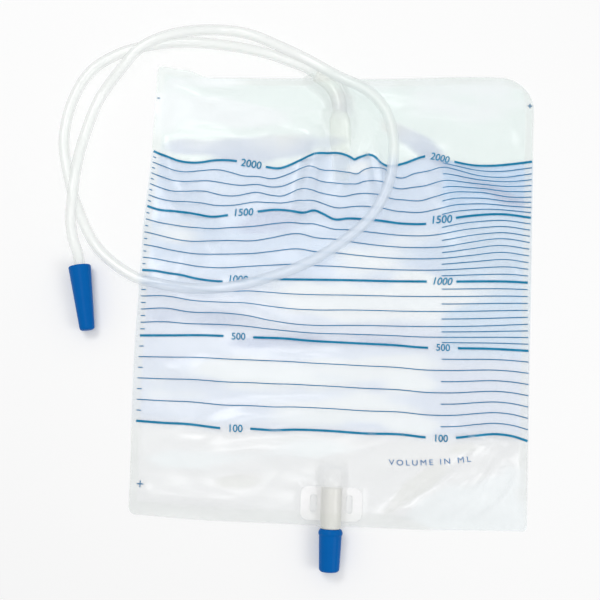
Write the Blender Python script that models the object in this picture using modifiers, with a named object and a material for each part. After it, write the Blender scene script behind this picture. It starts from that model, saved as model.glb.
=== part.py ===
"""A two-litre urine drainage bag, emptied and laid flat, with its inlet tube looped over it.

Metres, +Z up. The bag's underside lies on Z = 0 and its centre is the origin. +Y runs from the outlet
in the bottom seam to the inlet in the top seam, and +X across the printed face, to its right.
"""

import math

import bmesh
import bpy
from mathutils import Vector

# Bag
BAG_WIDTH = 0.260
BAG_HEIGHT = 0.303
FILM = 0.00025
WELD_WIDTH = 0.006
TOP_RIGHT_CORNER = 0.022
TOP_LEFT_CORNER = 0.003
BOTTOM_RIGHT_CORNER = 0.003
BOTTOM_LEFT_CORNER = 0.005
CLEARANCE = 0.0003
FILM_EASE = 0.0004

# How far each edge bows out of the plain rectangle, by the share of its length
TOP_BOW = [(0, 0), (0.07, -0.002), (0.14, -0.007), (0.25, -0.006), (0.5, -0.004), (0.9, 0.001), (1, 0)]
BOTTOM_BOW = [(0, 0), (0.2, -0.0018), (0.7, -0.0018), (1, 0)]
LEFT_BOW = [(0, 0), (0.35, -0.0024), (0.6, -0.0016), (0.82, 0.0014), (1, 0.002)]
BOW_REACH = 0.10

# Film grid: its fine columns cover the ports, and its fine rows the port at each end
FINE_LEFT = -0.031
FINE_RIGHT = 0.025
FINE_COLUMNS = 22
LEFT_COLUMNS = 9
RIGHT_COLUMNS = 8
CORNER_COLUMNS = 5
TOP_FINE = 0.032
TOP_ROWS = 13
VALVE_STRETCH = 0.058
VALVE_ROWS = 9
MIDDLE_ROWS = 14
BOTTOM_FINE = 0.046
BOTTOM_ROWS = 13
BACK_CELLS = 12

# Folds in the front film: from, to, half-width, height. They fade out past their ends, by a share of
# their length.
FOLD_RUN = 0.4
FOLD_FADE = 0.5
FOLDS = [
    ((-0.126, 0.147), (-0.063, 0.117), 0.010, 0.0045),
    ((-0.117, 0.113), (-0.054, 0.136), 0.012, 0.0030),
    ((-0.051, 0.118), (-0.016, 0.105), 0.008, 0.0040),
    ((-0.016, 0.100), (-0.024, 0.058), 0.006, 0.0045),
    ((0.022, 0.100), (0.031, 0.058), 0.006, 0.0035),
    ((0.059, 0.104), (0.076, 0.066), 0.008, 0.0030),
    ((0.038, 0.139), (0.107, 0.123), 0.009, 0.0035),
    ((0.053, 0.106), (0.121, 0.115), 0.008, 0.0030),
    ((-0.124, 0.091), (-0.092, 0.038), 0.008, 0.0030),
    ((-0.112, -0.004), (-0.010, -0.030), 0.009, 0.0032),
    ((-0.057, -0.004), (0.030, -0.014), 0.010, 0.0024),
    ((0.082, 0.087), (0.123, 0.071), 0.007, 0.0026),
    ((0.085, 0.044), (0.122, 0.021), 0.008, 0.0026),
    ((-0.091, -0.057), (-0.002, -0.060), 0.009, 0.0026),
    ((-0.010, -0.050), (0.070, -0.036), 0.010, 0.0022),
    ((-0.068, -0.090), (0.009, -0.076), 0.008, 0.0026),
    ((-0.080, -0.108), (-0.020, -0.104), 0.008, 0.0026),
    ((0.046, -0.147), (0.105, -0.101), 0.008, 0.0050),
    ((0.075, -0.143), (0.094, -0.122), 0.005, 0.0030),
    ((0.092, -0.146), (0.116, -0.116), 0.005, 0.0034),
    ((0.090, -0.088), (0.126, -0.098), 0.006, 0.0030),
    ((-0.120, -0.138), (-0.064, -0.141), 0.007, 0.0020),
]

# Outlet port: a soft tube with two slotted ears, welded into the bottom seam
OUTLET_X = 0.0022
OUTLET_RADIUS = 0.0065
OUTLET_BORE = 0.0046
OUTLET_NOZZLE = 0.0056
OUTLET_INSIDE = 0.0250
OUTLET_NOZZLE_LENGTH = 0.0246
OUTLET_CHAMFER = 0.0006
OUTLET_FOOT = 0.0105
OUTLET_RUN = 0.0040
OUTLET_FADE = 0.0200
EAR_REACH = 0.0200
EAR_LOW = 0.0035
EAR_HEIGHT = 0.0215
EAR_THICKNESS = 0.0012
EAR_BITE = 0.00025
EAR_CORNER = 0.0050
SLOT_INNER = 0.0094
SLOT_OUTER = 0.0140
SLOT_HEIGHT = 0.0120
SLOT_CORNER = 0.0018
EAR_MARGIN = 0.0042

# Cap on the outlet's nozzle
OUTLET_CAP_RIM = 0.0079
OUTLET_CAP_WAIST = 0.0073
OUTLET_CAP_END = 0.0066
OUTLET_CAP_DOME = 0.0030
OUTLET_CAP_STEP = 0.0014
OUTLET_CAP_NOSE = 0.0022
OUTLET_CAP_FLOOR = 0.0026
OUTLET_CAP_PLUG = 0.0100
OUTLET_CAP_CHAMFER = 0.0006

# Inlet port: a soft sleeve that bends to the left as it leaves the top seam
INLET_X = -0.0023
INLET_DEPTH = 0.0290
INLET_LEAD = 0.0015
INLET_RADIUS = 0.0050
INLET_BORE = 0.0019
INLET_BEND = 0.0240
INLET_LEAN = math.radians(58)
INLET_STUB = 0.0060
INLET_FOOT = 0.0096

# Non-return valve: a flat sleeve that closes when the bag fills
VALVE_LENGTH = 0.0460
VALVE_WALL = 0.0005
VALVE_FOOT = 0.0125
VALVE_DRIFT = 0.0027
VALVE_RUN = 0.06
VALVE_FADE = 0.25
# Share of the length, half-width, thickness
VALVE_SECTIONS = [
    (0.00, 0.0052, 0.0098),
    (0.12, 0.0072, 0.0086),
    (0.45, 0.0073, 0.0036),
    (0.56, 0.0060, 0.0020),
    (1.00, 0.0057, 0.0014),
]
VALVE_SIDES = 18

# Inlet tube
TUBE_RADIUS = 0.0036
TUBE_STEP = 4.2 * TUBE_RADIUS
ROUTE = [
    (-0.0190, 0.1478, 0.0056),
    (-0.0266, 0.1526, 0.0056),
    (-0.0380, 0.1566, 0.0048),
    (-0.0514, 0.1613, 0.0039),
    (-0.0721, 0.1653, 0.0037),
    (-0.0927, 0.1672, 0.0037),
    (-0.1133, 0.1673, 0.0037),
    (-0.1330, 0.1643, 0.0037),
    (-0.1532, 0.1581, 0.0037),
    (-0.1726, 0.1448, 0.0037),
    (-0.1839, 0.1235, 0.0037),
    (-0.1881, 0.0979, 0.0037),
    (-0.1842, 0.0745, 0.0037),
    (-0.1757, 0.0494, 0.0037),
    (-0.1607, 0.0231, 0.0040),
    (-0.1377, 0.0058, 0.0060),
    (-0.1166, -0.0001, 0.0076),
    (-0.0940, -0.0022, 0.0078),
    (-0.0700, 0.0000, 0.0080),
    (-0.0440, 0.0075, 0.0080),
    (-0.0180, 0.0190, 0.0080),
    (0.0050, 0.0350, 0.0080),
    (0.0210, 0.0510, 0.0086),
    (0.0310, 0.0700, 0.0094),
    (0.0346, 0.0900, 0.0100),
    (0.0334, 0.1080, 0.0112),
    (0.0272, 0.1240, 0.0128),
    (0.0140, 0.1360, 0.0148),
    (-0.0060, 0.1444, 0.0156),
    (-0.0260, 0.1554, 0.0136),
    (-0.0453, 0.1656, 0.0088),
    (-0.0659, 0.1746, 0.0048),
    (-0.0864, 0.1770, 0.0040),
    (-0.1063, 0.1739, 0.0083),
    (-0.1239, 0.1680, 0.0114),
    (-0.1383, 0.1598, 0.0116),
    (-0.1488, 0.1485, 0.0096),
    (-0.1659, 0.1243, 0.0046),
    (-0.1746, 0.0959, 0.0052),
    (-0.1767, 0.0782, 0.0096),
    (-0.1774, 0.0661, 0.0114),
    (-0.1778, 0.0532, 0.0116),
    (-0.1785, 0.0413, 0.0098),
    (-0.1766, 0.0283, 0.0076),
]

# Catheter connector on the tube's far end, and its cap
CONNECTOR_MOUTH = (-0.1710, 0.0099)
CONNECTOR_TURN = math.radians(10.7)
CONNECTOR_INSET = 0.0005
CONNECTOR_LEAD = 0.0080
CONNECTOR_HUB = 0.0051
CONNECTOR_HUB_LENGTH = 0.0030
CONNECTOR_BORE = 0.0016
# Each step's length, and its radius at its start and end
CONNECTOR_STEPS = [
    (0.0090, 0.0048, 0.0044),
    (0.0110, 0.0042, 0.0037),
    (0.0120, 0.0035, 0.0030),
]
CAP_RADIUS = 0.00735
CAP_END_RADIUS = 0.00495
CAP_ROOM = 0.0034
CAP_LIP = 0.0010
CAP_NOSE = 0.0020
CAP_FLOOR = 0.0046
CAP_CHAMFER = 0.0003

TURNED_STEPS = 24
ARC_STEPS = 4
TURN_MERGE = 0.00005
CAP_MERGE = 0.000005

BASE = FILM + CLEARANCE
OUTLET_Z = BASE + EAR_THICKNESS - EAR_BITE + OUTLET_RADIUS
INLET_Z = BASE + INLET_RADIUS
SEAM_Y = -BAG_HEIGHT / 2 + min(rise for _, rise in BOTTOM_BOW)
INLET_START = Vector((INLET_X, BAG_HEIGHT / 2 - INLET_DEPTH, INLET_Z))


def material(name, colour, roughness, transmission=0.0):
    """A new Principled material."""
    mat = bpy.data.materials.new(name)
    mat.use_nodes = True
    shader = mat.node_tree.nodes["Principled BSDF"]
    shader.inputs["Base Color"].default_value = (*colour, 1)
    shader.inputs["Roughness"].default_value = roughness
    shader.inputs["Metallic"].default_value = 0.0
    shader.inputs["Transmission Weight"].default_value = transmission
    mat.diffuse_color = (*colour, 1)
    return mat


def clear_scene():
    for old in list(bpy.data.objects):
        bpy.data.objects.remove(old, do_unlink=True)


def new_collection(name):
    group = bpy.data.collections.new(name)
    bpy.context.scene.collection.children.link(group)
    return group


def add_mesh(name, bm, group, mat=None):
    """An object made from a bmesh, which is freed."""
    bmesh.ops.recalc_face_normals(bm, faces=bm.faces)
    mesh = bpy.data.meshes.new(name)
    bm.to_mesh(mesh)
    bm.free()
    obj = bpy.data.objects.new(name, mesh)
    if mat:
        mesh.materials.append(mat)
    group.objects.link(obj)
    return obj


def shade(obj, sharp_degrees=35):
    obj.data.shade_smooth()
    obj.data.set_sharp_from_angle(angle=math.radians(sharp_degrees))


def smoothstep(value):
    value = min(max(value, 0.0), 1.0)
    return value * value * (3 - 2 * value)


def along(points, share):
    """The value at a share of the way through points, (share, value), eased between them."""
    for (low, before), (high, after) in zip(points, points[1:]):
        if share <= high:
            return before + (after - before) * smoothstep((share - low) / (high - low))
    return points[-1][1]


def spaced(marks):
    """Grid lines from marks, (place, number of cells up to the next mark)."""
    lines = []
    for (low, cells), (high, _) in zip(marks, marks[1:]):
        lines += [low + (high - low) * k / cells for k in range(cells)]
    return lines + [marks[-1][0]]


def inlet_path(extra=0.0, steps=6):
    """Points along the inlet sleeve's axis, inner end to mouth, with extra length at both ends."""
    points = [INLET_START - Vector((0, extra, 0))]
    for k in range(steps + 1):
        turn = INLET_LEAN * k / steps
        across = -INLET_BEND * (1 - math.cos(turn))
        up = INLET_LEAD + INLET_BEND * math.sin(turn)
        points.append(INLET_START + Vector((across, up, 0)))
    lean = Vector((-math.sin(INLET_LEAN), math.cos(INLET_LEAN), 0))
    points.append(points[-1] + lean * (INLET_STUB + extra))
    return points


def distance_to_path(x, y, points):
    """The plan distance from a place to the polyline through points."""
    best = math.inf
    here = Vector((x, y))
    for a, b in zip(points, points[1:]):
        start = Vector((a.x, a.y))
        run = Vector((b.x, b.y)) - start
        share = min(max((here - start).dot(run) / run.length_squared, 0), 1)
        best = min(best, (here - start - run * share).length)
    return best


def drape(offset, half_width, half_height, centre, foot):
    """The height above BASE of film that hangs over an oval and meets the flat at foot from its middle."""
    squeeze = half_height / half_width
    offset = abs(offset) * squeeze
    foot = foot * squeeze
    rise = centre - BASE
    reach = math.hypot(foot, rise)
    lean = math.acos(min(half_height / reach, 1)) - math.atan2(rise, foot)
    if offset < half_height * math.cos(lean):
        return rise + math.sqrt(half_height**2 - offset**2)
    return max((foot - offset) / math.tan(lean), 0)


def valve_size(share):
    """The valve's half-width and thickness at a share of its length."""
    last = VALVE_SECTIONS[-1]
    for low, high in zip(VALVE_SECTIONS, VALVE_SECTIONS[1:]):
        if share <= high[0]:
            part = (share - low[0]) / (high[0] - low[0])
            return low[1] + (high[1] - low[1]) * part, low[2] + (high[2] - low[2]) * part
    return last[1], last[2]


def over_outlet(x, y):
    """The film's lift over the outlet port's tube and ears."""
    from_seam = y - SEAM_Y
    past_tube = from_seam - OUTLET_INSIDE
    radius = OUTLET_RADIUS + FILM_EASE
    tube = drape(x - OUTLET_X, radius, radius, OUTLET_Z, OUTLET_FOOT)
    tube *= 1 - smoothstep((past_tube - OUTLET_RUN) / OUTLET_FADE)
    sideways = abs(x - OUTLET_X) - EAR_REACH
    past_ear = from_seam - EAR_LOW - EAR_HEIGHT
    ears = 1 - smoothstep(max(sideways, past_ear) / EAR_MARGIN)
    return max(tube, ears * (EAR_THICKNESS + CLEARANCE))


def over_inlet(x, y, path):
    """The film's lift over the inlet sleeve and the valve."""
    radius = INLET_RADIUS + FILM_EASE
    lift = drape(distance_to_path(x, y, path), radius, radius, INLET_Z, INLET_FOOT)
    share = (INLET_START.y - y) / VALVE_LENGTH
    if share > -VALVE_RUN:
        half_width, thickness = valve_size(min(max(share, 0), 1))
        middle = INLET_X + VALVE_DRIFT * share
        half_height = thickness / 2 + FILM_EASE
        centre = BASE + thickness / 2
        valve = drape(x - middle, half_width + FILM_EASE, half_height, centre, VALVE_FOOT)
        lift = max(lift, valve * (1 - smoothstep((share - 1 - VALVE_RUN) / VALVE_FADE)))
    return lift


def fold_lift(x, y):
    """The lift of the film's soft folds, before the welded edge holds it down."""
    lift = 0.0
    for start, end, half_width, height in FOLDS:
        a = Vector(start)
        run = Vector(end) - a
        share = (Vector((x, y)) - a).dot(run) / run.length_squared
        before = share + FOLD_RUN
        after = 1 + FOLD_RUN - share
        if before > 0 and after > 0:
            aside = (Vector((x, y)) - a - run * share).length / half_width
            ends = smoothstep(before / FOLD_FADE) * smoothstep(after / FOLD_FADE)
            lift += height * ends * math.exp(-aside * aside)
    return lift


def round_corner(x, y):
    """A place on the rectangle, drawn in where it lies in the square of a round corner."""
    radii = {
        (1, 1): TOP_RIGHT_CORNER,
        (-1, 1): TOP_LEFT_CORNER,
        (1, -1): BOTTOM_RIGHT_CORNER,
        (-1, -1): BOTTOM_LEFT_CORNER,
    }
    sides = (1 if x > 0 else -1, 1 if y > 0 else -1)
    radius = radii[sides]
    across = (abs(x) - BAG_WIDTH / 2 + radius) / radius
    up = (abs(y) - BAG_HEIGHT / 2 + radius) / radius
    if across <= 0 or up <= 0:
        return x, y
    inner_x = BAG_WIDTH / 2 - radius
    inner_y = BAG_HEIGHT / 2 - radius
    moved_x = inner_x + radius * across * math.sqrt(1 - up * up / 2)
    moved_y = inner_y + radius * up * math.sqrt(1 - across * across / 2)
    return sides[0] * moved_x, sides[1] * moved_y


def bag_point(x, y):
    """A place on the plain rectangle, moved to the bag's real outline."""
    across = (x + BAG_WIDTH / 2) / BAG_WIDTH
    up = (y + BAG_HEIGHT / 2) / BAG_HEIGHT
    top_share = smoothstep(1 - (BAG_HEIGHT / 2 - y) / BOW_REACH)
    bottom_share = smoothstep(1 - (BAG_HEIGHT / 2 + y) / BOW_REACH)
    left_share = smoothstep(1 - (BAG_WIDTH / 2 + x) / BOW_REACH)
    x, y = round_corner(x, y)
    moved_x = x + along(LEFT_BOW, up) * left_share
    moved_y = y + along(TOP_BOW, across) * top_share + along(BOTTOM_BOW, across) * bottom_share
    return moved_x, moved_y


def front_lift(x, y, moved_x, moved_y, path):
    """The height of the front film's underside above the flat weld."""
    edge = min(BAG_WIDTH / 2 - abs(x), BAG_HEIGHT / 2 - abs(y))
    held = smoothstep((edge - WELD_WIDTH / 2) / (2 * WELD_WIDTH))
    soft = fold_lift(moved_x, moved_y) * held
    return max(soft, over_outlet(moved_x, moved_y), over_inlet(moved_x, moved_y, path))


def film(name, columns, rows, height_at, group, mat):
    """A sheet over the bag's outline, from its underside's height at each grid place."""
    bm = bmesh.new()
    bmesh.ops.create_grid(bm, x_segments=len(columns) - 1, y_segments=len(rows) - 1, size=0.5)
    for vert in bm.verts:
        x = columns[round((vert.co.x + 0.5) * (len(columns) - 1))]
        y = rows[round((vert.co.y + 0.5) * (len(rows) - 1))]
        moved = bag_point(x, y)
        vert.co = (*moved, height_at(x, y, *moved))
    obj = add_mesh(name, bm, group, mat)
    if obj.data.polygons[0].normal.z < 0:
        obj.data.flip_normals()
    shell = obj.modifiers.new("Film", "SOLIDIFY")
    shell.thickness = FILM
    shell.offset = 1
    shade(obj, 60)
    return obj


def front_film(group):
    columns = spaced(
        [
            (-BAG_WIDTH / 2, LEFT_COLUMNS),
            (FINE_LEFT, FINE_COLUMNS),
            (FINE_RIGHT, RIGHT_COLUMNS),
            (BAG_WIDTH / 2 - TOP_RIGHT_CORNER, CORNER_COLUMNS),
            (BAG_WIDTH / 2, 0),
        ]
    )
    rows = spaced(
        [
            (-BAG_HEIGHT / 2, BOTTOM_ROWS),
            (-BAG_HEIGHT / 2 + BOTTOM_FINE, MIDDLE_ROWS),
            (BAG_HEIGHT / 2 - TOP_FINE - VALVE_STRETCH, VALVE_ROWS),
            (BAG_HEIGHT / 2 - TOP_FINE, TOP_ROWS),
            (BAG_HEIGHT / 2, 0),
        ]
    )
    path = inlet_path()
    clear_film = material("front_film", (0.84, 0.90, 0.93), 0.25, 0.4)
    return film(
        "front_film",
        columns,
        rows,
        lambda x, y, mx, my: BASE + front_lift(x, y, mx, my, path),
        group,
        clear_film,
    )


def back_film(group):
    corner_x = BAG_WIDTH / 2 - TOP_RIGHT_CORNER
    corner_y = BAG_HEIGHT / 2 - TOP_RIGHT_CORNER
    columns = spaced([(-BAG_WIDTH / 2, BACK_CELLS), (corner_x, CORNER_COLUMNS), (BAG_WIDTH / 2, 0)])
    rows = spaced([(-BAG_HEIGHT / 2, BACK_CELLS), (corner_y, CORNER_COLUMNS), (BAG_HEIGHT / 2, 0)])
    plain_film = material("back_film", (0.90, 0.93, 0.93), 0.3, 0.3)
    return film("back_film", columns, rows, lambda x, y, mx, my: 0.0, group, plain_film)


def turned(name, profile, steps, group, mat=None):
    """A turned body about the local Z axis. Its profile of (radius, height) climbs the outer side, and is
    closed, or starts and ends on the axis.
    """
    profile = profile[::-1]
    mesh = bpy.data.meshes.new(name)
    closed = profile[0][0] > 0
    count = len(profile)
    edges = [(k, k + 1) for k in range(count - 1)]
    if closed:
        edges.append((count - 1, 0))
    mesh.from_pydata([(radius, 0, height) for radius, height in profile], edges, [])
    obj = bpy.data.objects.new(name, mesh)
    if mat:
        mesh.materials.append(mat)
    group.objects.link(obj)
    screw = obj.modifiers.new("Turn", "SCREW")
    screw.steps = steps
    screw.render_steps = steps
    screw.use_merge_vertices = True
    screw.merge_threshold = TURN_MERGE
    screw.use_smooth_shade = True
    return obj


def lay_along(obj, start, direction):
    """Puts a turned body's local +Z along a direction, with its origin at start."""
    obj.location = start
    obj.rotation_mode = "QUATERNION"
    obj.rotation_quaternion = Vector(direction).to_track_quat("Z", "X")


def arc(centre, radius, first, last, steps=ARC_STEPS):
    """Points of an arc in a profile, by its end angles in degrees."""
    points = []
    for k in range(steps + 1):
        turn = math.radians(first + (last - first) * k / steps)
        points.append((centre[0] + radius * math.cos(turn), centre[1] + radius * math.sin(turn)))
    return points


def plain_mesh(obj, group):
    """An evaluated copy of an object, as a mesh with its loose caps welded, in place of the object."""
    bpy.context.view_layer.update()
    seen = obj.evaluated_get(bpy.context.evaluated_depsgraph_get())
    bm = bmesh.new()
    bm.from_mesh(bpy.data.meshes.new_from_object(seen))
    bmesh.ops.remove_doubles(bm, verts=bm.verts, dist=CAP_MERGE)
    name = obj.name
    place = obj.matrix_world.copy()
    bpy.data.objects.remove(obj, do_unlink=True)
    made = add_mesh(name, bm, group)
    made.matrix_world = place
    return made


def flat_outline(name, loops, thickness, group):
    """A plate from closed outlines in its own XY plane, the first one outside and the others holes."""
    curve = bpy.data.curves.new(name, "CURVE")
    curve.dimensions = "2D"
    curve.fill_mode = "BOTH"
    curve.extrude = thickness / 2
    for loop in loops:
        spline = curve.splines.new("POLY")
        spline.points.add(len(loop) - 1)
        spline.use_cyclic_u = True
        for point, (x, y) in zip(spline.points, loop):
            point.co = (x, y, 0, 1)
    obj = bpy.data.objects.new(name, curve)
    group.objects.link(obj)
    return obj


def rounded_box(left, right, low, high, radius):
    """A rectangle's outline with round corners."""
    corners = [
        ((right - radius, high - radius), 0),
        ((left + radius, high - radius), 90),
        ((left + radius, low + radius), 180),
        ((right - radius, low + radius), 270),
    ]
    points = []
    for centre, first in corners:
        points += arc(centre, radius, first, first + 90)
    return points


def boolean(obj, tool, operation):
    cut = obj.modifiers.new(operation.title(), "BOOLEAN")
    cut.operation = operation
    cut.solver = "EXACT"
    cut.object = tool


def as_cutter(obj):
    obj.hide_render = True
    obj.display_type = "WIRE"


def outlet_port(group, cutters):
    """A soft tube through the bottom seam on a plate whose two slotted ears anchor it in the weld."""
    chamfer = OUTLET_CHAMFER
    outside = OUTLET_INSIDE + CLEARANCE * 2
    end = outside + OUTLET_NOZZLE_LENGTH
    profile = [
        (OUTLET_BORE, 0),
        (OUTLET_RADIUS - chamfer, 0),
        (OUTLET_RADIUS, chamfer),
        (OUTLET_RADIUS, outside),
        (OUTLET_NOZZLE, outside),
        (OUTLET_NOZZLE, end - chamfer),
        (OUTLET_NOZZLE - chamfer, end),
        (OUTLET_BORE, end),
    ]
    soft = material("outlet_port", (0.86, 0.89, 0.86), 0.3, 0.3)
    tube = turned("outlet_port", profile, TURNED_STEPS, group, soft)
    lay_along(tube, (OUTLET_X, SEAM_Y + OUTLET_INSIDE, OUTLET_Z), (0, -1, 0))
    low = SEAM_Y + EAR_LOW
    plate = rounded_box(-EAR_REACH, EAR_REACH, low, low + EAR_HEIGHT, EAR_CORNER)
    middle = low + EAR_HEIGHT / 2
    slot_low = middle - SLOT_HEIGHT / 2
    slot_high = middle + SLOT_HEIGHT / 2
    loops = [plate]
    loops.append(rounded_box(SLOT_INNER, SLOT_OUTER, slot_low, slot_high, SLOT_CORNER))
    loops.append(rounded_box(-SLOT_OUTER, -SLOT_INNER, slot_low, slot_high, SLOT_CORNER))
    ears = flat_outline("outlet_ears", loops, EAR_THICKNESS, cutters)
    ears.location = (OUTLET_X, 0, BASE + EAR_THICKNESS / 2)
    ears = plain_mesh(ears, cutters)
    as_cutter(ears)
    boolean(tube, ears, "UNION")
    return tube


def outlet_cap(group, mat):
    """A push-on cap with a domed mouth and a spigot that plugs the nozzle."""
    chamfer = OUTLET_CAP_CHAMFER
    inner = OUTLET_NOZZLE + CLEARANCE
    plug = OUTLET_BORE - CLEARANCE
    floor = OUTLET_NOZZLE_LENGTH
    length = floor + OUTLET_CAP_FLOOR
    plug_tip = floor - OUTLET_CAP_PLUG
    profile = [(0, plug_tip), (plug - chamfer, plug_tip), (plug, plug_tip + chamfer), (plug, floor)]
    profile += [(inner, floor), (inner, chamfer)]
    mouth = inner + chamfer / 2
    for k in range(ARC_STEPS + 1):
        turn = math.pi / 2 * k / ARC_STEPS
        bulge = (OUTLET_CAP_RIM - mouth) * math.sin(turn)
        profile.append((mouth + bulge, OUTLET_CAP_DOME * (1 - math.cos(turn))))
    profile.append((OUTLET_CAP_WAIST, OUTLET_CAP_DOME + OUTLET_CAP_STEP))
    nose = OUTLET_CAP_NOSE
    profile += arc((OUTLET_CAP_END - nose, length - nose), nose, 0, 90)
    profile.append((0, length))
    cap = turned("outlet_cap", profile, TURNED_STEPS, group, mat)
    start = SEAM_Y - CLEARANCE * 3
    lay_along(cap, (OUTLET_X, start, OUTLET_Z), (0, -1, 0))
    return cap


def tube_curve(name, points, radius, group, resolution, mat=None):
    """A POLY spline with a round section and filled ends."""
    curve = bpy.data.curves.new(name, "CURVE")
    curve.dimensions = "3D"
    curve.bevel_depth = radius
    curve.bevel_resolution = resolution
    curve.use_fill_caps = True
    spline = curve.splines.new("POLY")
    spline.points.add(len(points) - 1)
    for point, place in zip(spline.points, points):
        point.co = (*place, 1)
    obj = bpy.data.objects.new(name, curve)
    if mat:
        curve.materials.append(mat)
    group.objects.link(obj)
    return obj


def inlet_port(group, cutters):
    """A soft sleeve, bored through, that curves from the valve to the tube."""
    sleeve = tube_curve("inlet_port", inlet_path(), INLET_RADIUS, group, 4)
    sleeve = plain_mesh(sleeve, group)
    bore = tube_curve("inlet_bore", inlet_path(extra=0.002), INLET_BORE, cutters, 2)
    bore = plain_mesh(bore, cutters)
    as_cutter(bore)
    boolean(sleeve, bore, "DIFFERENCE")
    sleeve.data.materials.append(material("inlet_port", (0.78, 0.84, 0.76), 0.3, 0.3))
    shade(sleeve)
    return sleeve


def oval(centre_x, y, half_width, thickness, inset):
    """A ring of points round an oval section that lies on BASE, drawn in by inset."""
    ring = []
    for k in range(VALVE_SIDES):
        turn = 2 * math.pi * k / VALVE_SIDES
        x = centre_x + (half_width - inset) * math.cos(turn)
        z = BASE + thickness / 2 + (thickness / 2 - inset) * math.sin(turn)
        ring.append((x, y, z))
    return ring


def non_return_valve(group):
    """A sleeve lofted from the port's round end to a flat mouth, open at both ends."""
    bm = bmesh.new()
    rings = []
    start = INLET_START.y - CLEARANCE
    for inset in (0, VALVE_WALL):
        side = []
        for share, half_width, thickness in VALVE_SECTIONS:
            centre = INLET_X + VALVE_DRIFT * share
            ring = oval(centre, start - VALVE_LENGTH * share, half_width, thickness, inset)
            side.append([bm.verts.new(place) for place in ring])
        rings.append(side)
    outer, inner = rings
    loop = outer + inner[::-1]
    for one, other in zip(loop, loop[1:] + loop[:1]):
        for k in range(VALVE_SIDES):
            after = (k + 1) % VALVE_SIDES
            bm.faces.new((one[k], one[after], other[after], other[k]))
    soft = material("non_return_valve", (0.72, 0.74, 0.66), 0.4, 0.2)
    valve = add_mesh("non_return_valve", bm, group, soft)
    shade(valve)
    return valve


def smooth_route(route, step):
    """Points a step apart on the smooth curve through route."""
    places = [Vector(place) for place in route]
    fine = []
    for k in range(len(places) - 1):
        before = places[max(k - 1, 0)]
        a = places[k]
        b = places[k + 1]
        after = places[min(k + 2, len(places) - 1)]
        for j in range(16):
            t = j / 16
            fine.append(
                0.5
                * (
                    2 * a
                    + (b - before) * t
                    + (2 * before - 5 * a + 4 * b - after) * t**2
                    + (3 * a - before - 3 * b + after) * t**3
                )
            )
    fine.append(places[-1])
    total = sum((b - a).length for a, b in zip(fine, fine[1:]))
    count = round(total / step)
    points = [fine[0]]
    walked = 0.0
    for a, b in zip(fine, fine[1:]):
        piece = (b - a).length
        while len(points) < count and walked + piece >= len(points) * total / count:
            share = (len(points) * total / count - walked) / piece
            points.append(a.lerp(b, share))
        walked += piece
    return points[:count] + [fine[-1]]


def connector_axis():
    """The connector's direction, away from the tube."""
    return Vector((math.sin(CONNECTOR_TURN), -math.cos(CONNECTOR_TURN), 0))


def connector_start():
    return Vector((*CONNECTOR_MOUTH, CAP_RADIUS))


def inlet_tube(group):
    """The soft tube, from the sleeve's mouth to the connector's hub."""
    axis = connector_axis()
    end = connector_start() + axis * (CONNECTOR_INSET - CLEARANCE)
    route = ROUTE + [tuple(end - axis * CONNECTOR_LEAD), tuple(end)]
    points = smooth_route(route, TUBE_STEP)
    points.insert(-1, end - axis * TUBE_RADIUS)
    clear = material("inlet_tube", (0.88, 0.92, 0.90), 0.15, 0.6)
    return tube_curve("inlet_tube", points, TUBE_RADIUS, group, 3, clear)


def catheter_connector(group):
    """A stepped taper with a hub, bored through."""
    reach = CONNECTOR_HUB_LENGTH
    profile = [(CONNECTOR_BORE, 0), (CONNECTOR_HUB, 0), (CONNECTOR_HUB, reach)]
    for length, before, after in CONNECTOR_STEPS:
        profile += [(before, reach), (after, reach + length)]
        reach += length
    profile.append((CONNECTOR_BORE, reach))
    rigid = material("catheter_connector", (0.90, 0.92, 0.90), 0.2, 0.4)
    hub = turned("catheter_connector", profile, TURNED_STEPS, group, rigid)
    axis = connector_axis()
    lay_along(hub, connector_start() + axis * CONNECTOR_INSET, axis)
    return hub


def connector_cap(group, mat):
    """A tapered cap, open at the tube's side."""
    hub_end = CONNECTOR_INSET + CONNECTOR_HUB_LENGTH
    floor = hub_end + sum(step[0] for step in CONNECTOR_STEPS) + CAP_ROOM
    length = floor + CAP_FLOOR
    slope = (CAP_RADIUS - CAP_END_RADIUS) / length
    inside = CONNECTOR_HUB + CLEARANCE + slope * hub_end
    profile = [(0, floor), (inside - slope * floor, floor)]
    profile += [(inside - slope * CAP_CHAMFER, CAP_CHAMFER), (inside + CAP_CHAMFER, 0)]
    profile += arc((CAP_RADIUS - CAP_LIP, CAP_LIP), CAP_LIP, -90, 0)
    profile += arc((CAP_END_RADIUS - CAP_NOSE, length - CAP_NOSE), CAP_NOSE, 0, 90)
    profile.append((0, length))
    cap = turned("connector_cap", profile, TURNED_STEPS, group, mat)
    lay_along(cap, connector_start(), connector_axis())
    return cap


def main():
    clear_scene()
    parts = new_collection("urine_drainage_bag")
    cutters = new_collection("cutters")
    blue = material("cap_blue", (0.01, 0.12, 0.46), 0.35)
    back_film(parts)
    front_film(parts)
    outlet_port(parts, cutters)
    outlet_cap(parts, blue)
    inlet_port(parts, cutters)
    non_return_valve(parts)
    inlet_tube(parts)
    catheter_connector(parts)
    connector_cap(parts, blue)


main()
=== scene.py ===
"""The looks of an emptied urine drainage bag that lies flat, with its inlet tube looped over it.

Metres, +Z up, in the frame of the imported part: the bag's underside lies on Z = 0 with its centre at the
origin, +Y runs from the outlet to the inlet, and +X across the printed face, to its right.
"""

import math

import bmesh
import bpy
import numpy as np
from mathutils import Euler, Matrix, Vector
from mathutils.bvhtree import BVHTree


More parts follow.
